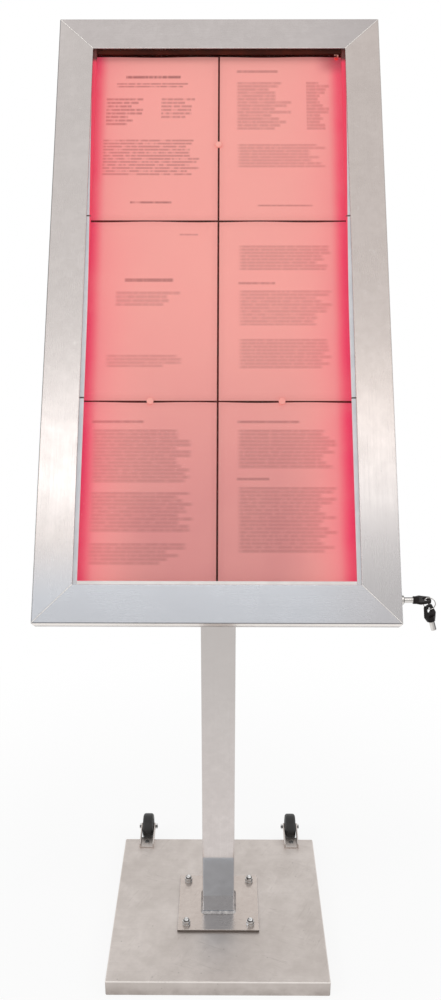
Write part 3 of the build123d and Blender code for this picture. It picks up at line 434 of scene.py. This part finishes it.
def print_block_group():
    """A block of soft printed lines on one sheet, drawn as bars with word gaps and ragged ends."""
    labels = ("Right", "Down", "Left", "Width", "Top", "Height", "Pitch", "Ragged", "Seed", "Strength",
              "Blur")
    inputs = [(label, "value", 0.0) for label in labels]
    w, into, out = shader_group("print_block", inputs, [("Ink", "value")])
    depth = w.calc("SUBTRACT", into["Down"], into["Top"])
    lines = w.calc("DIVIDE", depth, into["Pitch"])
    seed = w.calc("MULTIPLY_ADD", into["Seed"], 31.7, w.calc("FLOOR", lines))
    chance = w.add("ShaderNodeTexWhiteNoise", {"W": seed}, noise_dimensions="1D").outputs["Value"]
    reach = w.invert(w.calc("MULTIPLY", chance, into["Ragged"]))
    along = w.calc("DIVIDE", w.calc("SUBTRACT", into["Right"], into["Left"]), into["Width"])
    fade = w.calc("MULTIPLY_ADD", into["Blur"], 0.05, 0.012)
    begin = w.spread(along, 0.0, fade)
    end = w.invert(w.spread(along, w.calc("SUBTRACT", reach, fade), reach))
    margin = w.calc("MULTIPLY_ADD", into["Blur"], 0.0016, 0.0001)
    past_end = w.spread(depth, w.calc("SUBTRACT", into["Height"], margin), into["Height"])
    within = w.calc("MULTIPLY", w.spread(depth, 0.0, margin), w.invert(past_end))
    middle = w.distance(w.calc("FRACT", lines), 0.5)
    bar = w.spread(middle, 0.12, 0.42, 1.0, w.calc("MULTIPLY", into["Blur"], 0.6))
    word_place = {"X": w.calc("MULTIPLY", into["Right"], WORDS_PER_METRE), "Y": seed}
    word_noise = w.noise(w.add("ShaderNodeCombineXYZ", word_place).outputs[0], 1.0, 2.0)
    word_gap = w.calc("MULTIPLY_ADD", into["Blur"], 0.45, 0.25)
    words = w.spread(word_noise, 0.34, 0.52, word_gap, 1.0)
    ink = into["Strength"]
    for share in (begin, end, within, bar, words):
        ink = w.calc("MULTIPLY", ink, share)
    w.feed(out["Ink"], ink)
    return w.tree


case_place = case_place_group()
brushed_grain = brushed_grain_group()
handling_smudge = handling_smudge_group()
fine_scratch = fine_scratch_group()
edge_wear_and_highlight = edge_wear_and_highlight_group()
moulded_grain = moulded_grain_group()
mitre_seam = mitre_seam_group()
bend_shade = bend_shade_group()
facing_band = facing_band_group()
lamp_glow = lamp_glow_group()
print_block = print_block_group()


def new_material(name, **constants):
    """A material with one surface shader, its plain values set on their own sockets."""
    material = bpy.data.materials.new(name)
    w = empty_wiring(material)
    surface = w.add("ShaderNodeBsdfPrincipled")
    w.add("ShaderNodeOutputMaterial", {"Surface": surface.outputs["BSDF"]})
    for key, value in constants.items():
        surface.inputs[key.replace("_", " ")].default_value = value
    return material, w, surface.inputs


# The coordinates that follow each run of metal grain: along it first, then the two across it
GRAIN_AXES = {
    "upright": ("Z", "X", "Y"),
    "level": ("X", "Y", "Z"),
    "slope": ("Up", "Across", "Out"),
    "across": ("Across", "Up", "Out"),
}


def grain_vector(w, run):
    """Position with its x along the metal's grain."""
    place = w.axes() if run in ("upright", "level") else w.group(case_place)
    order = [place[axis] for axis in GRAIN_AXES[run]]
    return w.add("ShaderNodeCombineXYZ", dict(zip("XYZ", order))).outputs[0]


def stainless(name, run, pale, dark, rough, haze,
              smudge_size=0.09, lines=0.25, specks=0.0, bend=(0.0012, 0.5)):
    """Brushed sheet steel: drawn lines along its run, cloudy hand marks, specks and bends brightened by a
    painted highlight.
    """
    material, w, surface = new_material(name, Metallic=1.0)
    point = w.point()
    bend_radius, bend_highlight = bend
    grain = w.group(brushed_grain, Vector=grain_vector(w, run))
    marks = w.group(handling_smudge, Vector=point, Size=smudge_size)
    small_marks = w.group(handling_smudge, Vector=point, Size=smudge_size * 0.2)
    edge = w.group(edge_wear_and_highlight, Vector=point, Radius=bend_radius)
    colour = w.wash(pale, dark, grain["Grain"], lines)
    colour = w.wash(colour, dark, marks["Cloud"], haze)
    colour = w.wash(colour, dark, small_marks["Cloud"], haze)
    colour = w.wash(colour, SCUFF_PALE, marks["Scuff"], haze * 0.4)
    colour = w.wash(colour, SPECK_DARK, marks["Speck"], specks)
    # Painted highlight on the worn bends and edges
    colour = w.wash(colour, BEND_HIGHLIGHT, edge["Wear And Highlight"], bend_highlight)
    roughness = w.calc("MULTIPLY_ADD", grain["Grain"], 0.05, rough)
    w.feed(surface["Base Color"], colour)
    w.feed(surface["Roughness"], w.calc("MULTIPLY_ADD", marks["Cloud"], 0.12 * haze, roughness))
    w.feed(surface["Normal"], w.bump(grain["Height"], 0.05, edge["Soft Normal"]))
    return material, w, surface, colour


def plain_stainless(*looks):
    """Brushed sheet steel with nothing added."""
    return stainless(*looks)[0]


def door_steel(name, run, pale, dark, fold, returns, foot, foot_start, right_dim=0.0):
    """One member of the door frame: steel with a painted reflection towards the foot, painted shade towards
    the right-hand end and along the outer bend, and the bottom rail's returns painted lit.
    """
    material, w, surface, colour = stainless(
        name, run, pale, dark, rough=0.2, haze=0.45, smudge_size=0.08, lines=0.3)
    place = w.group(case_place)
    spot = {"Across": place["Across"], "Up": place["Up"]}
    # Painted reflection: each member's lower end turns cooler or darker
    colour = w.blend(w.spread(place["Up"], foot_start, DOOR_FOOT_UP), colour, foot)
    # Painted shade: darker towards the right-hand end
    colour = w.blend(w.spread(place["Across"], *RIGHT_DIM_ACROSS, 0.0, right_dim), colour, RIGHT_DIM)
    bend = w.group(bend_shade, Out=place["Out"], **spot)
    # Painted shade along the face's outer bend
    colour = w.wash(colour, FOLD_SHADE, bend["Shade"], fold)
    colour = w.wash(colour, SEAM_FLANK, w.group(mitre_seam, Half_Width=0.0006, **spot)["Seam"], 0.4)
    colour = w.wash(colour, SEAM_BRIGHT, w.group(mitre_seam, Half_Width=0.00028, **spot)["Seam"], 0.9)
    w.feed(surface["Base Color"], w.blend(bend["Face"], returns, colour))
    return material


def post_steel():
    """The post's polished steel, with a cooler painted reflection of the base at the foot of its front and
    painted shade under the case.
    """
    material, w, surface, colour = stainless(
        "post_steel", "upright", POST_PALE, POST_DARK, rough=0.05, haze=0.45, smudge_size=0.06)
    height = w.axes()["Z"]
    # Painted shade: dimmer under the case
    colour = w.blend(w.spread(height, *POST_DIM_RISE, 0.0, 0.85), colour, POST_DIM)
    # Painted reflection of the base: cooler at the foot of the front
    front = w.group(facing_band, Direction=FORWARD, Share=1.0, Inner=0.2, Outer=0.5)["Band"]
    foot = w.calc("MULTIPLY", front, w.spread(height, *POST_FOOT_REFLECTION_DROP))
    w.feed(surface["Base Color"], w.blend(foot, colour, POST_FOOT_REFLECTION))
    return material


def flange_steel():
    """The foot plate: smoother steel with fine scratches and dark cut edges, their tone partly a painted
    shade.
    """
    material, w, surface, colour = stainless(
        "flange_steel", "level", FLANGE_PALE, FLANGE_DARK, rough=0.2, haze=0.4, smudge_size=0.05, lines=0.2,
        specks=0.2, bend=(0.0016, 0.9))
    scratch = w.group(fine_scratch, Vector=w.point(), Sparse=0.5)["Scratch"]
    colour = w.wash(colour, SCRATCH_DARK, scratch, 0.2)
    # Dark upright edges: the cut edges' own tone and a painted shade
    cut = w.group(facing_band, Share=0.0, Inner=0.3, Outer=0.7)["Band"]
    w.feed(surface["Base Color"], w.blend(cut, colour, CUT_EDGE_SHADE))
    return material


def base_steel():
    """The base cover's duller steel, marked by shoes and cleaning, with painted highlights on its bends and
    painted shade on its upright sides.
    """
    material, w, surface, colour = stainless(
        "base_steel", "level", BASE_PALE, BASE_DARK, rough=0.42, haze=0.38, smudge_size=0.13, lines=0.08,
        specks=0.35)
    point = w.point()
    # Painted highlight on the bends
    bend = w.group(facing_band, Share=0.6, Inner=0.2, Outer=0.38)["Band"]
    colour = w.wash(colour, BASE_BEND_HIGHLIGHT, bend, 0.55)
    # Painted shade: the upright sides darker
    upright = w.group(facing_band, Share=0.0, Inner=0.08, Outer=0.2)["Band"]
    colour = w.wash(colour, BASE_DARK, upright, 0.32)
    dirt = w.group(handling_smudge, Vector=point, Size=0.03)["Cloud"]
    splash = w.calc("MULTIPLY", dirt, w.spread(w.axes()["Z"], *SPLASH_DROP, 0.0, 0.6))
    colour = w.wash(colour, FLOOR_DIRT, splash, upright)
    scratch = w.group(fine_scratch, Vector=point, Sparse=0.52)["Scratch"]
    on_top = w.calc("MULTIPLY_ADD", upright, -0.25, 0.25)
    w.feed(surface["Base Color"], w.wash(colour, SCRATCH_DARK, scratch, on_top))
    return material


def turned_metal(name, pale, dark, rough, size=0.012, dark_reflections=()):
    """Plated or turned small metal parts with fine marks, bright edges of wear and painted highlight, and
    painted dark reflections of a room.
    """
    material, w, surface = new_material(name, Metallic=1.0)
    point = w.point()
    marks = w.group(handling_smudge, Vector=point, Size=size)
    edge = w.group(edge_wear_and_highlight, Vector=point, Radius=0.0005)
    colour = w.wash(pale, dark, marks["Cloud"], 0.3)
    # Painted dark reflections of a room
    for direction, share, inner, outer, strength in dark_reflections:
        dark_reflection = w.group(facing_band, Direction=direction, Share=share, Inner=inner, Outer=outer)["Band"]
        colour = w.wash(colour, REFLECTION_DARK, dark_reflection, strength)
    # Bright edges: wear and a painted highlight
    w.feed(surface["Base Color"], w.wash(colour, EDGE_WEAR_AND_HIGHLIGHT, edge["Wear And Highlight"], 0.5))
    w.feed(surface["Roughness"], w.calc("MULTIPLY_ADD", marks["Cloud"], 0.1, rough))
    w.feed(surface["Normal"], w.bump(marks["Scuff"], 0.1, edge["Soft Normal"]))
    return material


def weld_metal():
    """A weld bead: close ripples along its run, with a heat-tinted drift of colour."""
    material, w, surface = new_material("weld_bead", Metallic=1.0)
    point = w.point()
    marks = w.group(handling_smudge, Vector=point, Size=0.01)
    run = w.calc("MULTIPLY", w.vector("DOT_PRODUCT", point, (1, 1, 1)), 1 / WELD_RIPPLE)
    wander = w.calc("MULTIPLY_ADD", marks["Cloud"], 0.6, run)
    ripple = w.distance(w.calc("FRACT", wander), 0.5)
    colour = w.blend(marks["Cloud"], WELD_PALE, WELD_DARK)
    w.feed(surface["Base Color"], w.wash(colour, WELD_GROOVE, ripple, 0.7))
    w.feed(surface["Roughness"], w.calc("MULTIPLY_ADD", marks["Cloud"], 0.15, 0.22))
    w.feed(surface["Normal"], w.bump(ripple, 0.5, depth=WELD_DEPTH))
    return material


def moulded(name, pale, dark, rough, grain_size=0.0008, relief=0.15, gloss=0.5):
    """Moulded plastic or rubber: pebbled grain, slight colour drift and paler edges of wear and painted
    highlight.
    """
    material, w, surface = new_material(name, Specular_IOR_Level=gloss)
    point = w.point()
    grain = w.group(moulded_grain, Vector=point, Size=grain_size)
    edge = w.group(edge_wear_and_highlight, Vector=point, Radius=0.0006)
    lighter = [min(1.0, channel * 1.7 + 0.02) for channel in pale[:3]] + [1.0]
    colour = w.blend(grain["Drift"], dark, pale)
    # Paler edges: wear and a painted highlight
    w.feed(surface["Base Color"], w.wash(colour, lighter, edge["Wear And Highlight"], 0.5))
    w.feed(surface["Roughness"], w.calc("MULTIPLY_ADD", grain["Drift"], 0.1, rough))
    w.feed(surface["Normal"], w.bump(grain["Height"], relief, edge["Soft Normal"]))
    return material


# Printed blocks of each sheet, row by row: left, width, top, height, line pitch, raggedness and strength.
# Lengths are in millimetres from the sheet's left and top edges.
PRINT_BLOCKS = {
    (0, 0): [(60, 90, 34, 8, 8, 0.0, 0.62), (45, 120, 48, 10, 5, 0.25, 0.42),
             (30, 62, 76, 52, 6.5, 0.45, 0.45), (118, 60, 76, 39, 6.5, 0.5, 0.36),
             (26, 156, 152, 66, 5.5, 0.14, 0.38), (72, 66, 262, 6, 6, 0.0, 0.55)],
    (0, 1): [(26, 70, 24, 7, 7, 0.0, 0.5), (26, 92, 46, 90, 6, 0.4, 0.36),
             (138, 42, 46, 90, 6, 0.55, 0.4), (26, 150, 160, 44, 5.5, 0.2, 0.34),
             (58, 90, 268, 5, 5, 0.0, 0.5)],
    (1, 0): [(66, 78, 96, 8, 8, 0.0, 0.7), (52, 106, 118, 26, 6.5, 0.35, 0.34),
             (40, 128, 222, 22, 5.5, 0.3, 0.3), (150, 30, 20, 5, 5, 0.0, 0.4)],
    (1, 1): [(28, 150, 40, 44, 5.5, 0.22, 0.36), (28, 60, 102, 6, 6, 0.0, 0.5),
             (28, 150, 116, 60, 5.5, 0.3, 0.33), (28, 146, 196, 50, 5.5, 0.18, 0.33)],
    (2, 0): [(24, 80, 28, 6, 6, 0.0, 0.55), (24, 158, 42, 84, 5.5, 0.2, 0.36),
             (24, 158, 138, 62, 5.5, 0.16, 0.36), (24, 150, 214, 34, 5.5, 0.3, 0.34)],
    (2, 1): [(26, 96, 28, 6, 6, 0.0, 0.55), (26, 154, 42, 62, 5.5, 0.18, 0.38),
             (26, 50, 116, 6, 6, 0.0, 0.5), (26, 154, 130, 100, 5.5, 0.2, 0.37)],
}


def sheet_corner(row, column):
    """Left and top edge of a sheet, across and up the slope."""
    left = column * (SHEET_WIDTH + SHEET_GAP) - FIELD_WIDTH / 2
    top = SHEET_TOP - row * (SHEET_LENGTH + SHEET_GAP)
    return left, top


def printed_ink(w, place, row, column):
    """The printed blocks of one sheet as a mask; the first sheet's print is the sharpest."""
    left, top = sheet_corner(row, column)
    right = w.calc("SUBTRACT", place["Across"], left)
    down = w.calc("SUBTRACT", top, place["Up"])
    blur = SHARP_PRINT if (row, column) == (0, 0) else SOFT_PRINT
    ink = 0.0
    for number, (start, width, drop, height, pitch, ragged, strength) in enumerate(PRINT_BLOCKS[row, column]):
        block = w.group(
            print_block, Right=right, Down=down, Left=start * MM, Width=width * MM, Top=drop * MM,
            Height=height * MM, Pitch=pitch * MM, Ragged=ragged, Seed=number + 6.0 * row + 3.0 * column + 1.0,
            Strength=strength * (1.0 - 0.32 * blur), Blur=blur)
        ink = w.calc("MAXIMUM", ink, block["Ink"])
    return ink


def menu_paper(row, column):
    """White paper with the side lamps' red light painted on as colour and glow, a painted shadow in one
    corner, and soft generic printed lines.
    """
    material, w, surface = new_material(
        f"menu_paper_{row + 1}_{column + 1}", Emission_Strength=0.5, Specular_IOR_Level=0.12)
    point = w.point()
    place = w.group(case_place)
    glow = w.group(lamp_glow, Across=place["Across"], Up=place["Up"])
    fibre = w.noise(point, 900.0, 4.0, 0.6)
    cloud = w.noise(point, 11.0, 3.0, 0.5)
    rose = w.spread(place["Up"], *PAPER_ROSE_UP, 0.34, 0.72)
    # Painted light: the lamps' rose and red light, dimmer where it fades
    lit = w.wash(PAPER_LIT, PAPER_ROSE_LIGHT, glow["Wide"], rose)
    lit = w.wash(lit, PAPER_RED_LIGHT, glow["Near"], 0.78)
    lit = w.wash(lit, PAPER_DIM, glow["Fall"], 0.7)
    # Painted shadow in the top right corner
    rightmost = w.spread(place["Across"], *CORNER_ACROSS)
    top_right = w.calc("MULTIPLY", rightmost, w.spread(place["Up"], *CORNER_UP))
    lit = w.wash(lit, PAPER_CORNER_SHADOW, top_right, 0.62)
    lit = w.blend(w.spread(cloud, 0.35, 0.65, 0.0, 0.1), lit, PAPER_CLOUD)
    lit = w.blend(w.spread(fibre, 0.4, 0.6, 0.0, 0.06), lit, PAPER_FIBRE)
    # Print reddened by the painted lamp light
    print_colour = w.blend(glow["Wide"], INK_DARK, INK_IN_RED_LIGHT)
    colour = w.blend(printed_ink(w, place, row, column), lit, print_colour)
    w.feed(surface["Base Color"], w.blend(1.0, colour, PAPER_MATT, "MULTIPLY"))
    # Painted glow: the paper's colour given again as emission
    w.feed(surface["Emission Color"], colour)
    w.feed(surface["Roughness"], w.spread(fibre, 0.3, 0.7, 0.75, 0.9))
    w.feed(surface["Normal"], w.bump(fibre, 0.12))
    return material


def paper_point(index, left, top, across, down):
    """A point of one sheet, by its shares of the width and length: slightly waved, its top edge uneven."""
    wave = sin(7.0 * across + 2.1 * index) * cos(4.0 * down + 1.3 * index)
    uneven = PAPER_UNEVEN * sin(9.0 * across + 1.7 * index) * (1 - down) ** 8
    return (CASE_FRONT + Vector((left + PAPER_TRIM + across * PAPER_WIDTH, 0, 0))
            + UPSLOPE * (top - PAPER_TRIM - down * PAPER_LENGTH + uneven)
            - OUTWARD * (SHEET_DEPTH + PAPER_WAVE * (1 + wave)))


def menu_papers():
    """Six thin sheets, each trimmed a little inside its place on the board."""
    steps_across, steps_down = 14, 20
    mesh = bmesh.new()
    sheets = list(PRINT_BLOCKS)
    for index, (row, column) in enumerate(sheets):
        left, top = sheet_corner(row, column)
        grid = [mesh.verts.new(paper_point(index, left, top, i / steps_across, j / steps_down))
                for j in range(steps_down + 1) for i in range(steps_across + 1)]
        for j in range(steps_down):
            for i in range(steps_across):
                corner = j * (steps_across + 1) + i
                below = corner + steps_across + 1
                face = mesh.faces.new((grid[below], grid[below + 1], grid[corner + 1], grid[corner]))
                face.material_index = index
                face.smooth = True
    data = bpy.data.meshes.new("menu_papers")
    mesh.to_mesh(data)
    mesh.free()
    papers = in_scene("menu_papers", data)
    for row, column in sheets:
        data.materials.append(menu_paper(row, column))
    thickness = papers.modifiers.new("paper_thickness", "SOLIDIFY")
    thickness.thickness = PAPER_THICKNESS
    thickness.offset = -1.0
    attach(papers, "stand")
    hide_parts("menu_sheets")


def lit_inside(name, colour, red, rough, glow_strength):
    """A surface inside the case with the side lamps' red light painted on as colour and glow."""
    material, w, surface = new_material(name, Emission_Strength=glow_strength, Specular_IOR_Level=0.15)
    place = w.group(case_place)
    glow = w.group(lamp_glow, Across=place["Across"], Up=place["Up"])
    grain = w.group(moulded_grain, Vector=w.point(), Size=0.001)
    shade = w.wash(colour, red, grain["Drift"], 0.35)
    # Painted red light on the colour, and a painted glow near the lamps
    w.feed(surface["Base Color"], w.wash(shade, red, glow["Wide"], 0.6))
    w.feed(surface["Emission Color"], w.blend(glow["Near"], colour, red))
    w.feed(surface["Roughness"], w.calc("MULTIPLY_ADD", grain["Drift"], 0.12, rough))
    w.feed(surface["Normal"], w.bump(grain["Height"], 0.1))
    return material


def hook_nylon():
    """The lead hook's pale nylon, with the lamps' red light painted on towards its tip, and a painted glow.
    """
    material, w, surface = new_material("hook_nylon", Emission_Strength=0.35, Specular_IOR_Level=0.15)
    place = w.group(case_place)
    grain = w.group(moulded_grain, Vector=w.point(), Size=0.001)
    pale = w.blend(grain["Drift"], HOOK_PALE, HOOK_DRIFT)
    # Painted red light towards the tip; the colour is also a painted glow
    colour = w.blend(w.spread(place["Up"], *HOOK_TIP_UP), pale, HOOK_RED_LIGHT)
    w.feed(surface["Base Color"], colour)
    w.feed(surface["Emission Color"], colour)
    w.feed(surface["Roughness"], w.calc("MULTIPLY_ADD", grain["Drift"], 0.12, 0.4))
    w.feed(surface["Normal"], w.bump(grain["Height"], 0.1))
    return material


def side_bead():
    """Pale glazing bead in three lengths; the lamps' red light is painted on its inner side, more of it
    towards the top, with a painted glow.
    """
    material, w, surface = new_material("bead_pale", Emission_Strength=0.2)
    place = w.group(case_place)
    grain = w.group(moulded_grain, Vector=w.point(), Size=0.0012)
    away = w.calc("SUBTRACT", WINDOW_WIDTH / 2, w.calc("ABSOLUTE", place["Across"]))
    plain = w.spread(place["Up"], *BEAD_RED_UP, -0.0004, BEAD_WIDTH)
    red = w.spread(away, w.calc("SUBTRACT", plain, 0.0004), w.calc("ADD", plain, 0.0004))
    # Painted red light on the inner side, and a painted glow
    colour = w.blend(red, w.blend(grain["Drift"], BEAD_PALE, BEAD_GREY), BEAD_RED_LIGHT)
    # Painted reflection of the dark gaps between the sheets
    for row in (1, 2):
        gap_line = sheet_corner(row, 0)[1] + SHEET_GAP / 2
        at_gap_line = w.spread(w.distance(place["Up"], gap_line), *BEAD_GAP_REFLECTION_OFF)
        colour = w.blend(at_gap_line, colour, BEAD_GAP_REFLECTION)
    # Painted shade at the top end
    top_end = w.spread(place["Up"], *BEAD_TOP_UP)
    glowing = w.calc("MULTIPLY", red, w.invert(top_end))
    w.feed(surface["Base Color"], w.blend(top_end, colour, BEAD_TOP_SHADE))
    w.feed(surface["Emission Color"], w.blend(glowing, UNLIT, BEAD_GLOW))
    w.feed(surface["Roughness"], w.calc("MULTIPLY_ADD", grain["Drift"], 0.1, 0.4))
    w.feed(surface["Normal"], w.bump(grain["Height"], 0.06))
    return material


def clear_pane():
    """The door's clear pane, with faint wiping marks."""
    material, w, surface = new_material("pane_clear", Base_Color=tint(120, 122, 124), IOR=1.49)
    marks = w.group(handling_smudge, Vector=w.point(), Size=0.12)
    w.feed(surface["Alpha"], w.calc("MULTIPLY_ADD", marks["Cloud"], 0.01, 0.008))
    w.feed(surface["Roughness"], w.calc("MULTIPLY_ADD", marks["Cloud"], 0.06, 0.04))
    return material


def lamp_material(name, colour, strength):
    """A red lamp part, slightly brighter at each lamp along its length."""
    material, w, surface = new_material(name, Base_Color=colour, Emission_Strength=strength)
    ripple = w.calc("SINE", w.calc("MULTIPLY", w.group(case_place)["Up"], tau / LAMP_SPACING))
    w.feed(surface["Emission Color"], w.blend(w.spread(ripple, -1.0, 1.0), LAMP_DEEP, LAMP_BRIGHT))
    w.feed(surface["Roughness"], w.spread(ripple, -1.0, 1.0, 0.3, 0.45))
    return material


# Painted dark reflections of a room on small bright parts: a direction, its share in the normal, the inner
# and outer half width of each reflection, and its strength
DOME_REFLECTIONS = [
    (UPWARD, 0.4, 0.12, 0.28, 0.85), (UPWARD, 0.0, 0.1, 0.2, 0.3),
    (RIGHTWARD, 0.8, 0.12, 0.35, 0.6), (RIGHTWARD, -0.45, 0.1, 0.25, 0.6),
]
TUBE_REFLECTIONS = [
    (UPWARD, 0.22, 0.16, 0.42, 0.4), (UPWARD, 1.0, 0.05, 0.14, 0.8),
    (UPWARD, -0.95, 0.2, 0.4, 0.8), (RIGHTWARD, 0.8, 0.22, 0.4, 0.8),
]

# Each finish with the pieces that have it
FINISHES = [
    (door_steel("left_stile_steel", "slope", LEFT_PALE, LEFT_DARK, fold=0.75, returns=LEFT_PALE,
                foot=COOL_FOOT_REFLECTION, foot_start=-0.36),
     ["door_stile_left"]),
    (door_steel("right_stile_steel", "slope", RIGHT_PALE, RIGHT_DARK, fold=0.2, returns=RIGHT_PALE,
                foot=RIGHT_STILE_FOOT_REFLECTION, foot_start=-0.1),
     ["door_stile_right"]),
    (door_steel("top_rail_steel", "across", TOP_PALE, TOP_DARK, fold=0.15, returns=TOP_PALE,
                foot=COOL_FOOT_REFLECTION, foot_start=-0.36, right_dim=0.5),
     ["door_rail_top"]),
    (door_steel("bottom_rail_steel", "across", BOTTOM_PALE, BOTTOM_DARK, fold=0.7, returns=LIT_RETURN,
                foot=BOTTOM_RAIL_FOOT_REFLECTION, foot_start=-0.36, right_dim=0.5),
     ["door_rail_bottom"]),
    (plain_stainless("housing_steel", "across", HOUSING_PALE, HOUSING_DARK, 0.25, 0.35),
     ["housing_back", "housing_walls", "housing_rim", "head_plate"]),
    (post_steel(), ["column_tube"]),
    (base_steel(), ["base_cover"]),
    (flange_steel(), ["column_flange"]),
    (plain_stainless("bracket_steel", "upright", BASE_PALE, BASE_DARK, 0.3, 0.4, 0.02, 0.2),
     ["caster_bracket_left", "caster_bracket_right"]),
    (turned_metal("zinc_plate", tint(204, 204, 204), tint(160, 160, 162), 0.3),
     ["pane_clips", "strike_plate", "stud_spacers", "hinge_leaves_door", "hinge_leaves_housing"]),
    (turned_metal("bright_steel", tint(228, 227, 226), tint(140, 139, 140), 0.08, 0.006, DOME_REFLECTIONS),
     ["flange_studs", "flange_washers", "flange_dome_nuts", "head_screws", "head_nuts", "caster_axles",
      "caster_nuts", "caster_rivets", "board_spacers", "board_screws", "hinge_pins", "cam_screw"]),
    (weld_metal(), ["column_welds"]),
    (turned_metal("nickel_plate", tint(230, 226, 222), tint(176, 170, 164), 0.1, dark_reflections=TUBE_REFLECTIONS),
     ["lock_body", "lock_nut", "lock_plug", "lock_cam", "key_tube", "key_ring", "spare_key_tube"]),
    (plain_stainless("mill_aluminium", "slope", tint(214, 214, 214), tint(188, 188, 188), 0.34, 0.3),
     ["led_rail_left", "led_rail_right"]),
    (moulded("ballast_primer", tint(74, 74, 76), tint(52, 52, 54), 0.6, 0.0015), ["base_ballast"]),
    (moulded("tyre_rubber", tint(34, 32, 31), tint(22, 21, 20), 0.4, 0.0009),
     ["caster_tyre_left", "caster_tyre_right"]),
    (moulded("wheel_black", tint(46, 43, 41), tint(30, 28, 27), 0.42),
     ["caster_wheel_left", "caster_wheel_right"]),
    (moulded("key_black", tint(30, 25, 24), tint(17, 14, 13), 0.3, gloss=0.15), ["key_bow", "spare_key_bow"]),
    (moulded("gland_black", tint(56, 56, 57), tint(40, 40, 41), 0.5), ["led_driver", "cable_gland"]),
    (moulded("seal_foam", tint(42, 42, 42), tint(28, 28, 28), 0.85, 0.0014, 0.3), ["door_seal"]),
    (side_bead(), ["glazing_bead_sides"]),
    # Bottom and top beads are copies of the pale bead: the bottom painted lit, the top painted in shade and
    # red lamp light
    (moulded("bead_lit_white", tint(240, 238, 236), tint(230, 227, 225), 0.4, 0.0012, 0.06),
     ["glazing_bead_bottom"]),
    (moulded("bead_shaded_red", tint(72, 26, 15), tint(54, 18, 9), 0.4, 0.0012, 0.06, 0.1), ["glazing_bead_top"]),
    (hook_nylon(), ["lead_hook"]),
    # The magnets and board carry the lamps' red light as painted colour and glow
    (lit_inside("magnet_clear", tint(244, 172, 160), tint(240, 120, 120), 0.2, 0.15), ["sheet_magnets"]),
    (lit_inside("board_brown", tint(58, 26, 17), tint(110, 18, 22), 0.5, 0.05), ["back_board"]),
    (clear_pane(), ["door_pane"]),
    (lamp_material("lamp_board", tint(240, 120, 130), 1.2), ["led_strips"]),
    (lamp_material("lamp_lens", tint(250, 150, 160), 0.8), ["led_lenses"]),
]
for finish, pieces in FINISHES:
    for piece in pieces:
        slots = nodes[piece].data.materials
        slots.clear()
        slots.append(finish)
menu_papers()

# Studio, in metres and watts: the floor's reach and drop, and each soft lamp's place, aim, width, depth
# and power
FLOOR_REACH = 9.0
FLOOR_DROP = 0.0005
SOFT_LAMPS = {
    "front_softbox": ((0.0, -2.0, 3.4), (0, 0, 1.0), 2.6, 0.5, 7.0),
    "left_softbox": ((-2.6, -1.6, 2.6), (0, 0, 0.9), 1.2, 1.2, 14.0),
    "right_softbox": ((2.8, -1.2, 2.4), (0, 0, 0.9), 1.2, 1.2, 9.0),
}


def seen_rays(w):
    """1 for what the camera sees, straight or through metal and glass, and 0 for light on the object."""
    rays = w.add("ShaderNodeLightPath").outputs
    mirrored = w.calc("MAXIMUM", rays["Is Glossy Ray"], rays["Is Transmission Ray"])
    return w.calc("MAXIMUM", rays["Is Camera Ray"], mirrored)


def studio_floor():
    """A pale floor that keeps the object's shadow near it and is plain white further out."""
    corners = [(x * FLOOR_REACH, y * FLOOR_REACH, 0) for x, y in ((-1, -1), (1, -1), (1, 1), (-1, 1))]
    mesh = bpy.data.meshes.new("studio_floor")
    mesh.from_pydata(corners, [], [(0, 1, 2, 3)])
    floor = in_scene("studio_floor", mesh)
    floor.location.z = -FLOOR_DROP
    material = bpy.data.materials.new("studio_floor")
    w = empty_wiring(material)
    plain = w.spread(w.vector("LENGTH", w.point()), 0.3, 1.2, 0.85, 1.0)
    matte = w.add("ShaderNodeBsdfDiffuse", {"Color": tint(250, 250, 250)})
    white = w.add("ShaderNodeEmission", {"Strength": 1.0})
    mixed = w.add("ShaderNodeMixShader", {
        0: w.calc("MULTIPLY", seen_rays(w), plain), 1: matte.outputs[0], 2: white.outputs[0]})
    w.add("ShaderNodeOutputMaterial", {"Surface": mixed.outputs[0]})
    mesh.materials.append(material)


def studio_world():
    """White surroundings, as the camera sees them, that light the object a little less."""
    world = bpy.data.worlds.new("studio_white")
    bpy.context.scene.world = world
    w = empty_wiring(world)
    strength = w.calc("MULTIPLY_ADD", seen_rays(w), 0.3, 0.7)
    backdrop = w.add("ShaderNodeBackground", {"Color": (1, 1, 1, 1), "Strength": strength})
    w.add("ShaderNodeOutputWorld", {"Surface": backdrop.outputs[0]})


def soft_lamp(name, place, aim, width, depth, watts):
    """A rectangular lamp that looks from its place towards its aim."""
    lamp = bpy.data.lights.new(name, "AREA")
    lamp.shape = "RECTANGLE"
    lamp.size, lamp.size_y = width, depth
    lamp.energy = watts
    holder = in_scene(name, lamp)
    holder.location = place
    holder.rotation_euler = (Vector(aim) - Vector(place)).to_track_quat("-Z", "Y").to_euler()


def front_camera():
    """The camera at the photographed viewing angle."""
    camera = bpy.data.cameras.new("front_camera")
    camera.sensor_width = 36.0
    camera.lens = 35.749
    camera.shift_x = 0.00105
    camera.shift_y = 0.04318
    holder = in_scene("front_camera", camera)
    holder.location = (0.01091, -1.5645, 1.37852)
    holder.rotation_euler = (radians(69.19), 0.0, radians(0.332))
    bpy.context.scene.camera = holder


studio_floor()
studio_world()
for lamp_name, lamp_values in SOFT_LAMPS.items():
    soft_lamp(lamp_name, *lamp_values)
front_camera()
bpy.context.scene.view_settings.view_transform = "Standard"
